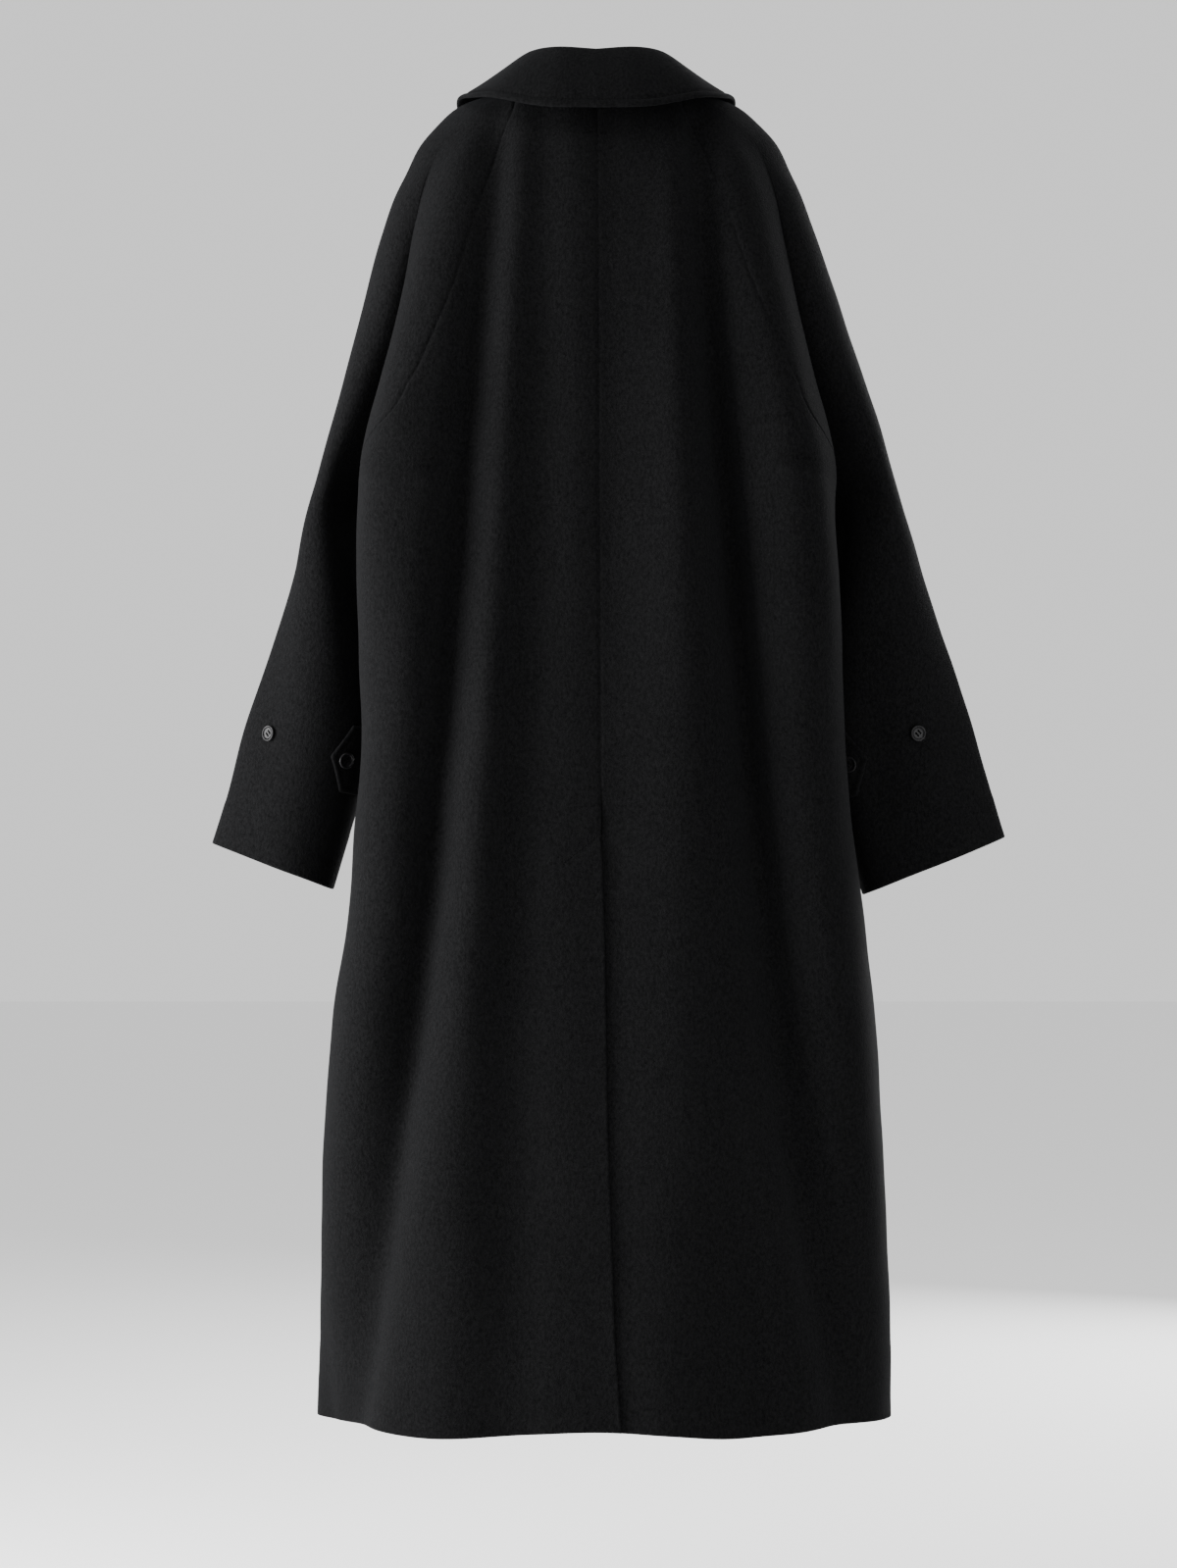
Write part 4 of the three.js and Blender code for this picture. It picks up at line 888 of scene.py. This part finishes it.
def cuff_strap(side):
    name = "cuff_strap_" + HAND[side]
    tip = STRAP["tip_" + HAND[side]]
    wide, inset = STRAP["half_width"], STRAP["inset"]
    near = np.cumsum(STRAP_RIM) / wide
    t = np.concatenate([[-1], -1 + near, np.linspace(-0.68, 0.68, STRAP["across"] - 14), 1 - near[::-1], [1]])
    half = STRAP["wall"] / 2
    centre = FACE + STRAP["clear"] + half
    slant = math.hypot(wide, STRAP["point"]) / wide
    middle = STRAP["length"] - len(STRAP_RIM)
    lines = []
    for share in t:
        end = tip - STRAP["point"] * abs(share)
        plain = np.full(middle, (end - STRAP["tail"] - STRAP_RIM.sum()) / middle)
        where = STRAP["tail"] + np.concatenate([[0], np.cumsum(np.concatenate([plain, STRAP_RIM[::-1]]))])
        points, normals = on_sleeve(side, STRAP["along"] + wide * share, where)
        away = np.minimum((1 - abs(share)) * wide, (end - where) / slant)
        edge = rounded(away, half)
        line = STRAP["depth"] * bell(away - inset, STRAP["half"])
        puff = STRAP["puff"] * bell(away - STRAP["ridge"][0], STRAP["ridge"][1])
        lines.append((points + normals * centre, normals, (half - line + puff) * edge, half * edge))
    piece = sheet(name, lines)
    # The line of stitches runs along one long edge, round the point and back
    corner = 1 - inset / wide
    tip_in = tip - inset * slant
    turn = tip_in - STRAP["point"] * corner
    run = [(-corner, w) for w in np.linspace(STRAP["tail"], turn, 30)]
    run += [(s, tip_in - STRAP["point"] * abs(s)) for s in np.linspace(-corner, corner, 21)[1:-1]]
    run += [(corner, w) for w in np.linspace(turn, STRAP["tail"], 30)]
    path, path_n = [], []
    for share, where in run:
        points, normals = on_sleeve(side, STRAP["along"] + wide * share, [where])
        path.append(points[0] + normals[0] * (centre + half - 0.5))
        path_n.append(normals[0])
    return piece, stitches(name + "_stitches", np.array(path), np.array(path_n))


# Buttons
SLEEVE_BUTTON = {"radius": 7.5, "height": 2.6, "under": 0.35}
FRONT_BUTTON = {"radius": 11.0, "height": 3.2, "under": 0.35, "levels": (34.0, 160.0, 285.0, 410.0, 535.0)}
HOLE = {"radius": 0.12, "place": 0.3, "sides": 14, "spots": ((1, 0), (0, 1), (-1, 0), (0, -1))}
BUTTON_SIDES = 56
SHARP = math.radians(40)
# The two bars of thread over a button: radius, half the space between threads, rise and sink of its ends
BAR = {"radius": 0.34, "apart": 0.35, "rise": 0.45, "sink": 1.5}
# Share of a sleeve or front button's radius and height, from its back round the rim to its dish
BUTTON_RIM = [
    (0.8, 0), (0.9, 0.08), (0.97, 0.25), (1, 0.45), (1, 0.62), (0.985, 0.8), (0.95, 0.93), (0.9, 1),
    (0.85, 1), (0.8, 0.97), (0.76, 0.88), (0.73, 0.76), (0.7, 0.67), (0.66, 0.62), (0.5, 0.6)]
# Buttons of the sleeves: side, level along the sleeve, and place round it from the underarm line
SLEEVE_BUTTONS = {
    "strap_button_left": (-1, 675.0, 52.0), "strap_button_right": (1, 675.0, 52.0),
    "cuff_button_left": (-1, 662.5, 131.5), "cuff_button_right": (1, 660.0, 117.5)}


def lathe(outline, sides):
    """Rings of an outline turned about Z, its two ends on the axis."""
    places, faces = [(0, 0, outline[0][1])], []
    turns = [2 * math.pi * k / sides for k in range(sides)]
    for r, z in outline[1:-1]:
        places += [(r * math.cos(a), r * math.sin(a), z) for a in turns]
    places.append((0, 0, outline[-1][1]))
    rings = len(outline) - 2
    for k in range(sides):
        after = (k + 1) % sides
        faces.append((0, 1 + after, 1 + k))
        faces.append((len(places) - 1, 1 + (rings - 1) * sides + k, 1 + (rings - 1) * sides + after))
        for i in range(rings - 1):
            a = 1 + i * sides
            faces.append((a + k, a + after, a + sides + after, a + sides + k))
    return places, faces


def button_mesh(radius, height):
    """A sew-through button with a raised rounded rim, a dished middle and four drilled holes."""
    r, h, q = radius, height, HOLE["radius"] * radius
    dish = BUTTON_RIM[-1][1] * h
    places, faces = lathe([(0, 0)] + [(a * r, b * h) for a, b in BUTTON_RIM] + [(0, dish)], BUTTON_SIDES)
    body = new_object("button_body", new_mesh("button_body", places, faces))
    tools = []
    drill = [(0, -h), (q, -h), (q, h * 0.52), (q * 1.5, h * 0.9), (q * 1.5, 2 * h), (0, 2 * h)]
    reach = HOLE["place"] * r
    for x, y in HOLE["spots"]:
        spots, sides = lathe(drill, HOLE["sides"])
        tool = new_object("hole", new_mesh("hole", np.array(spots) + (x * reach, y * reach, 0), sides))
        cut = body.modifiers.new("hole", "BOOLEAN")
        cut.operation = "DIFFERENCE"
        cut.solver = "EXACT"
        cut.object = tool
        tools.append(tool)
    graph = bpy.context.evaluated_depsgraph_get()
    made = bpy.data.meshes.new_from_object(body.evaluated_get(graph))
    for o in [body, *tools]:
        bpy.data.objects.remove(o)
    return made


def seat(place, normal, lift):
    """The frame that stands a button on a place, its face along the normal there."""
    z = Vector(normal)
    x = Vector((0, 0, 1)).cross(z).normalized()
    y = z.cross(x)
    base = Vector(place) + z * lift
    rows = [(x[k], y[k], z[k], base[k]) for k in range(3)]
    return Matrix((*rows, (0, 0, 0, 1)))


def sew_on(name, frame_matrix, mesh, kind):
    """A button from its mesh, with two bars of thread over its middle."""
    made = mesh.copy()
    made.name = name + "_resin"
    made.transform(Matrix.Scale(MM, 4) @ frame_matrix)
    made.materials.clear()
    piece = add_piece(name + "_resin", made, RESIN)
    made.set_sharp_from_angle(angle=SHARP)
    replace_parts(piece, name)
    dish = BUTTON_RIM[-1][1] * kind["height"]
    corners = np.array(HOLE["spots"]) * HOLE["place"] * kind["radius"]
    places, faces = [], []
    for start, stop in (corners[:2], corners[2:]):
        way = unit(stop - start)
        side = np.array([-way[1], way[0]])
        for shift in (BAR["apart"], -BAR["apart"]):
            shares = np.linspace(0, 1, 9)
            faces += thread_faces(len(places), len(shares))
            for s in shares:
                x, y = start + (stop - start) * s + side * shift
                z = dish + BAR["rise"] * math.sin(math.pi * s) ** 0.5 - (BAR["sink"] if s in (0, 1) else 0)
                for a, b in np.array(ROUND_THREAD) * BAR["radius"]:
                    places.append((frame_matrix @ Vector((x + side[0] * a, y + side[1] * a, z + b))) * MM)
    add_piece(name + "_thread", new_mesh(name + "_thread", places, faces), THREAD_WITH_PAINTED_SHADE)


def buttons():
    on_cloth = FACE + SLEEVE_BUTTON["under"]
    on_strap = FACE + STRAP["clear"] + STRAP["wall"] + SLEEVE_BUTTON["under"]
    small = button_mesh(SLEEVE_BUTTON["radius"], SLEEVE_BUTTON["height"])
    for name, (side, along, round_at) in SLEEVE_BUTTONS.items():
        p, n = on_sleeve(side, along, [round_at])
        lift = on_strap if name.startswith("strap") else on_cloth
        sew_on(name, seat(p[0], n[0], lift), small, SLEEVE_BUTTON)
    large = button_mesh(FRONT_BUTTON["radius"], FRONT_BUTTON["height"])
    for i, along in enumerate(FRONT_BUTTON["levels"]):
        which, mid = ("upper", 2 * SAMPLES) if along <= ARMPIT else ("body", SAMPLES)
        rows = levels_of(which, [along])["front"]
        p, n = sample(rows, 0, rows["d"][0, [mid]])
        matrix = seat(p[0], n[0], VENT_STEP + FACE + FRONT_BUTTON["under"])
        sew_on(f"front_button_{i + 1}", matrix, large, FRONT_BUTTON)


def dress():
    for part in OUT:
        for side, hand in HAND.items():
            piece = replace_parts(body_panel(part, side), f"{part}_{hand}")
            thread = [vent_stitches()] if (part, hand) == ("back", "left") else []
            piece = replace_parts(sleeve_panel(part, side), f"sleeve_{part}_{hand}")
    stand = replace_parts(collar_stand(), "collar_stand")
    leaf, path, normals = collar_leaf()
    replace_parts(leaf, "collar_leaf")
    thread = stitches("collar_stitches", path, normals)
    for side, hand in HAND.items():
        strap, thread = cuff_strap(side)
        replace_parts(strap, f"cuff_strap_{hand}")
    buttons()


# Camera, floor and light
PHOTO = {"width": 1200, "height": 1599, "mm_per_pixel": 0.9}
CAMERA = {"away": 4.5, "x": -0.009, "z": -0.6386, "sensor": 36.0}


def set_camera():
    camera = new_object("camera", bpy.data.cameras.new("camera"))
    camera.location = (CAMERA["x"], -CAMERA["away"], CAMERA["z"])
    camera.rotation_euler = (math.pi / 2, 0, 0)
    camera.data.sensor_width = CAMERA["sensor"]
    shown = PHOTO["height"] * PHOTO["mm_per_pixel"] * MM
    camera.data.lens = CAMERA["sensor"] * CAMERA["away"] / shown
    bpy.context.scene.camera = camera


FLOOR = {"z": -1.46, "half": 14.0}


def set_floor():
    half, z = FLOOR["half"], FLOOR["z"]
    corners = [(-half, -half, z), (half, -half, z), (half, half, z), (-half, half, z)]
    mesh = new_mesh("floor", corners, [(0, 1, 2, 3)])
    mesh.materials.append(Finish("floor", Base_Color=(0.9, 0.9, 0.9, 1), Roughness=0.9).material)
    new_object("floor", mesh)


# Soft lights: place, size in metres and power in watts
LIT = (0, 0, -0.6)     # the place they face
LIGHTS = {
    "key": ((-1.85, -0.46, -0.5), 1.2, 190), "top": ((-0.7, -1.1, 1.5), 1.2, 40),
    "fill": ((1.25, -1.25, -0.5), 0.9, 21), "front_fill": ((1.6, 2.6, 0.0), 2.0, 110)}


def soft_light(name, place, size, power):
    light = bpy.data.lights.new(name, "AREA")
    light.size = size
    light.energy = power
    lamp = new_object(name, light)
    lamp.location = place
    aim = Vector(LIT) - Vector(place)
    lamp.rotation_mode = "QUATERNION"
    lamp.rotation_quaternion = aim.to_track_quat("-Z", "Y")


def set_light():
    world = bpy.data.worlds.new("studio")
    bpy.context.scene.world = world
    world.use_nodes = True
    background = world.node_tree.nodes["Background"]
    background.inputs["Color"].default_value = (1, 1, 1, 1)
    background.inputs["Strength"].default_value = 1.0
    for name, (place, size, power) in LIGHTS.items():
        soft_light(name, place, size, power)


dress()
set_camera()
set_floor()
set_light()
